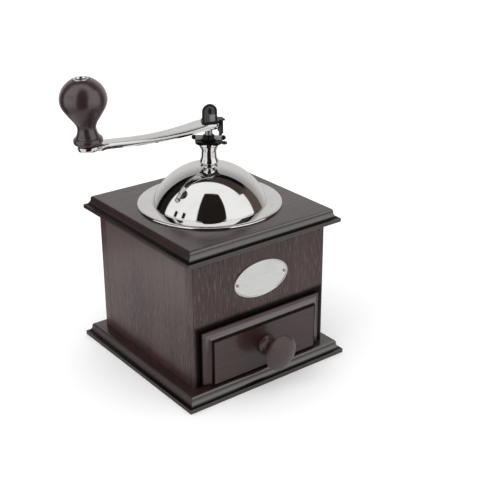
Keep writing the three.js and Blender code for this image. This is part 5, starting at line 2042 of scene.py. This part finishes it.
@dataclass
class PaintedRoom:
    """The room that polished metal mirrors, and an even light from above for everything else.

    It is painted by where a ray points: how near the camera's way, how far to its right and how
    far up, each from -1 to 1. A pair of such readings is where a tone starts to fade and ends.

    Attributes:
        pale, pale_start: tones of the pale wall behind the object, and where it starts.
        pale_dip: how that wall hangs lower at its sides.
        shade, wall: tones of the room's dark left half and of its brown right half.
        wall_top, lit_start: where the brown wall and the lit part give way to the unlit dark.
        box, box_start: tones of the soft boxes in front, and where they start.
        box_slope, box_step: how that edge is tilted and moved.
        strips: turn, foot and head of the dark strips on the left box.
        gap_left, gap_right, gap_top: the sides and the top of the dark gap between the boxes.
        light: the even light from below and from above.
    """

    toward: Vector
    right: Vector
    pale: tuple[Colour, Colour] = ((0.66, 0.65, 0.64), (0.33, 0.325, 0.32))
    pale_fade: Pair = (-0.92, -0.50)
    pale_start: Pair = (-0.50, -0.52)
    pale_dip: Triple = (0.55, 0.1, 0.03)
    shade: Colour = (0.015, 0.013, 0.012)
    wall: tuple[Colour, Colour] = ((0.100, 0.078, 0.064), (0.048, 0.038, 0.032))
    wall_fade: Pair = (0.45, 0.75)
    wall_top: Pair = (0.62, 0.50)
    corner: Pair = (-0.02, 0.02)
    unlit: Colour = (0.003, 0.003, 0.003)
    lit_start: Pair = (-0.40, -0.33)
    box: tuple[Colour, Colour] = ((0.70, 0.70, 0.70), (0.95, 0.95, 0.94))
    box_fade: Pair = (-0.35, 0.05)
    box_start: Pair = (-0.02, 0.03)
    box_slope: Pair = (-0.06, 0.14)
    box_step: Triple = (0.74, 0.78, 0.15)
    strips: tuple[Triple, ...] = ((-70.0, 0.22, 0.40), (-52.5, 0.28, 0.46))
    strip_blur: float = 0.02
    strip_half: Pair = (0.062, 0.044)
    strip_front: Pair = (0.0, 0.1)
    strip: Colour = (0.02, 0.02, 0.02)
    gap: Colour = (0.014, 0.0115, 0.010)
    gap_left: Pair = (-0.50, -0.42)
    gap_right: Pair = (0.61, 0.53)
    gap_lean: float = -0.35
    gap_top: Pair = (0.28, 0.33)
    least: float = 0.02
    light: tuple[Colour, Colour] = ((0.60, 0.60, 0.60), (1.40, 1.40, 1.40))
    light_fade: Pair = (-0.2, 1.0)
    backdrop: Colour = (1.0, 1.0, 1.0)
    graph: Graph = field(init=False)
    ray: Socket = field(init=False)
    near: Socket = field(init=False)
    side: Socket = field(init=False)
    rise: Socket = field(init=False)
    height: Socket = field(init=False)

    def build(self) -> None:
        """Paints the world and shows each kind of ray its part of it."""
        world = bpy.data.worlds.new("studio")
        world.use_nodes = True
        bpy.context.scene.world = world
        self.graph = graph = Graph(world.node_tree)
        self.ray = graph.node("TexCoord").outputs["Generated"]
        self.near, self.side, self.rise = (self.along(way) for way in (self.toward, self.right, UP))
        self.height = graph.maths("MAXIMUM", self.rise, 0.0)
        seen = graph.blend(self.boxes_begin(), self.middle(), self.soft_boxes())
        dip_from, dip_to, dip = self.pale_dip
        bend = graph.maths("MULTIPLY_ADD", graph.ramp(self.rise, dip_from, dip_to), dip, self.near)
        pale = graph.blend(graph.ramp(self.near, *self.pale_fade), *self.pale)
        seen = graph.blend(graph.ramp(bend, *self.pale_start), seen, pale)
        light = graph.blend(graph.ramp(self.rise, *self.light_fade), *self.light)
        path = graph.node("LightPath").outputs
        shown = graph.blend(path["Is Glossy Ray"], light, seen)
        direct = graph.maths("MAXIMUM", path["Is Camera Ray"], path["Is Transmission Ray"])
        graph.fill(world.node_tree.nodes["Background"],
                   {"Color": graph.blend(direct, shown, self.backdrop), "Strength": 1.0})

    def along(self, direction: Vector) -> Socket:
        """Reads how far a ray points along a direction.

        Args:
            direction: the direction.

        Returns:
            The reading, from -1 to 1.
        """
        product = self.graph.node("VectorMath", operation="DOT_PRODUCT")
        self.graph.feed(product.inputs[0], self.ray)
        self.graph.feed(product.inputs[1], tuple(direction))
        return product.outputs["Value"]

    def middle(self) -> Socket:
        """Paints the dark middle of the room, between the pale wall and the soft boxes.

        Returns:
            Its colour.
        """
        graph, to_right = self.graph, self.graph.ramp(self.side, *self.corner)
        brown = graph.blend(graph.ramp(self.rise, *self.wall_fade), *self.wall)
        halves = graph.blend(to_right, self.shade, brown)
        wall_edge = graph.maths("MULTIPLY", to_right, graph.ramp(self.rise, *self.wall_top))
        lit = graph.maths("ADD", wall_edge, graph.ramp(self.near, *self.lit_start), clamp=True)
        return graph.blend(lit, self.unlit, halves)

    def soft_boxes(self) -> Socket:
        """Paints the two soft boxes with the dark gap between them and the strips on the left one.

        Returns:
            Their colour.
        """
        graph, blur = self.graph, self.strip_blur
        soft = graph.blend(graph.ramp(self.rise, *self.box_fade), *self.box)
        for turn, low, high in self.strips:
            aside = math.radians(turn + 90.0)
            across = self.along(math.cos(aside) * self.toward + math.sin(aside) * self.right)
            tall = graph.maths("MULTIPLY", graph.ramp(self.rise, low - blur, low + blur),
                               graph.ramp(self.rise, high + blur, high - blur))
            thin = graph.ramp(graph.maths("ABSOLUTE", across), *self.strip_half)
            strip = graph.maths("MULTIPLY", graph.maths("MULTIPLY", thin, tall),
                                graph.ramp(self.near, *self.strip_front))
            soft = graph.blend(strip, soft, self.strip)
        slant = graph.maths("DIVIDE", self.side, graph.maths("MAXIMUM", self.near, self.least))
        wide = graph.maths("MULTIPLY_ADD", self.height, self.gap_lean, slant)
        gap = graph.maths("MULTIPLY", graph.ramp(slant, *self.gap_left), graph.ramp(wide, *self.gap_right))
        steep = graph.maths("DIVIDE", self.near, graph.maths("MAXIMUM", self.rise, self.least))
        gap = graph.maths("MULTIPLY", gap, graph.ramp(steep, *self.gap_top))
        return graph.blend(gap, soft, self.gap)

    def boxes_begin(self) -> Socket:
        """Marks where the soft boxes begin.

        Returns:
            Their share of what is seen.
        """
        graph, (tilt, rise) = self.graph, self.box_slope
        step_from, step_to, step = self.box_step
        edge = graph.maths("MULTIPLY_ADD", self.height, rise, self.near)
        edge = graph.maths("MULTIPLY_ADD", self.side, tilt, edge)
        edge = graph.maths("MULTIPLY_ADD", graph.ramp(self.side, step_from, step_to), step, edge)
        return graph.ramp(edge, *self.box_start)


@dataclass
class Studio:
    """The floor, the camera and the light, as a tabletop studio would set them up."""

    back: Triple = (-0.5599, -0.7244, 0.4022)
    place: Triple = (-0.38328, -0.54197, 0.37482)
    roll: float = -0.0597
    lens: float = 73.035
    sensor: float = 36.0
    clip_start: float = 0.01
    floor_half: float = 20.0
    lamp_size: Pair = (0.9, 0.7)
    lamp_power: float = 5.0
    lamp_stand: Triple = (0.8, -0.9, 1.3)
    lamp_aim: float = 0.08
    toward: Vector = field(init=False)
    right: Vector = field(init=False)

    def __post_init__(self) -> None:
        """Works out the level directions towards the camera and to its right."""
        self.toward = Vector((self.back[0], self.back[1], 0.0)).normalized()
        self.right = (-self.toward).cross(UP)

    def build(self) -> None:
        """Sets up the camera, the floor and the light."""
        self.camera()
        self.floor()
        PaintedRoom(self.toward, self.right).build()
        self.lamp()
        bpy.context.scene.view_settings.view_transform = "Standard"

    def camera(self) -> None:
        """Stands the camera where the photograph was taken from."""
        back = Vector(self.back).normalized()
        right = (-back).cross(UP).normalized()
        up = right.cross(-back)
        roll = math.radians(self.roll)
        across = math.cos(roll) * right + math.sin(roll) * up
        above = -math.sin(roll) * right + math.cos(roll) * up
        turn = Matrix((across, above, back)).transposed().to_4x4()
        data = bpy.data.cameras.new("camera")
        data.sensor_width, data.lens, data.clip_start = self.sensor, self.lens, self.clip_start
        bpy.context.scene.camera = self.stood("camera", data, Matrix.Translation(self.place) @ turn)

    @staticmethod
    def stood(name: str, data: bpy.types.ID, place: Matrix) -> bpy.types.Object:
        """Puts something into the scene.

        Args:
            name: name of the object.
            data: its mesh, lamp or camera.
            place: where it stands and how it is turned.

        Returns:
            The object.
        """
        made = bpy.data.objects.new(name, data)
        made.matrix_world = place
        bpy.context.scene.collection.objects.link(made)
        return made

    def floor(self) -> None:
        """Lays the pale floor; beyond the table's edge, mirrored rays look past it into the studio."""
        bm = bmesh.new()
        bmesh.ops.create_grid(bm, x_segments=8, y_segments=8, size=self.floor_half)
        mesh = bpy.data.meshes.new("floor")
        bm.to_mesh(mesh)
        bm.free()
        mesh.materials.append(PaleFloor("pale_floor").material())
        self.stood("floor", mesh, Matrix())

    def lamp(self) -> None:
        """Hangs one broad soft lamp over the left shoulder of the camera."""
        data = bpy.data.lights.new("soft_key", "AREA")
        data.shape, data.energy = "RECTANGLE", self.lamp_power
        data.size, data.size_y = self.lamp_size
        ahead, aside, above = self.lamp_stand
        stand = self.toward * ahead + self.right * aside + UP * above
        aim = (stand - UP * self.lamp_aim).to_track_quat("Z", "Y").to_matrix().to_4x4()
        lamp = self.stood("soft_key", data, Matrix.Translation(stand) @ aim)
        lamp.visible_glossy = False
        lamp.visible_camera = False


def main() -> None:
    logging.basicConfig(level=logging.INFO, format="%(name)s: %(message)s")
    for part in (WoodenCase(), Plaque(), Drawer(), DomedHopper(), ShaftSpring(), Adjuster(), CrankArm(),
                 Catch(), CrankKnob(), HiddenWorks(), Studio()):
        log.info("building %s", type(part).__name__)
        part.build()


if __name__ == "__main__":
    main()
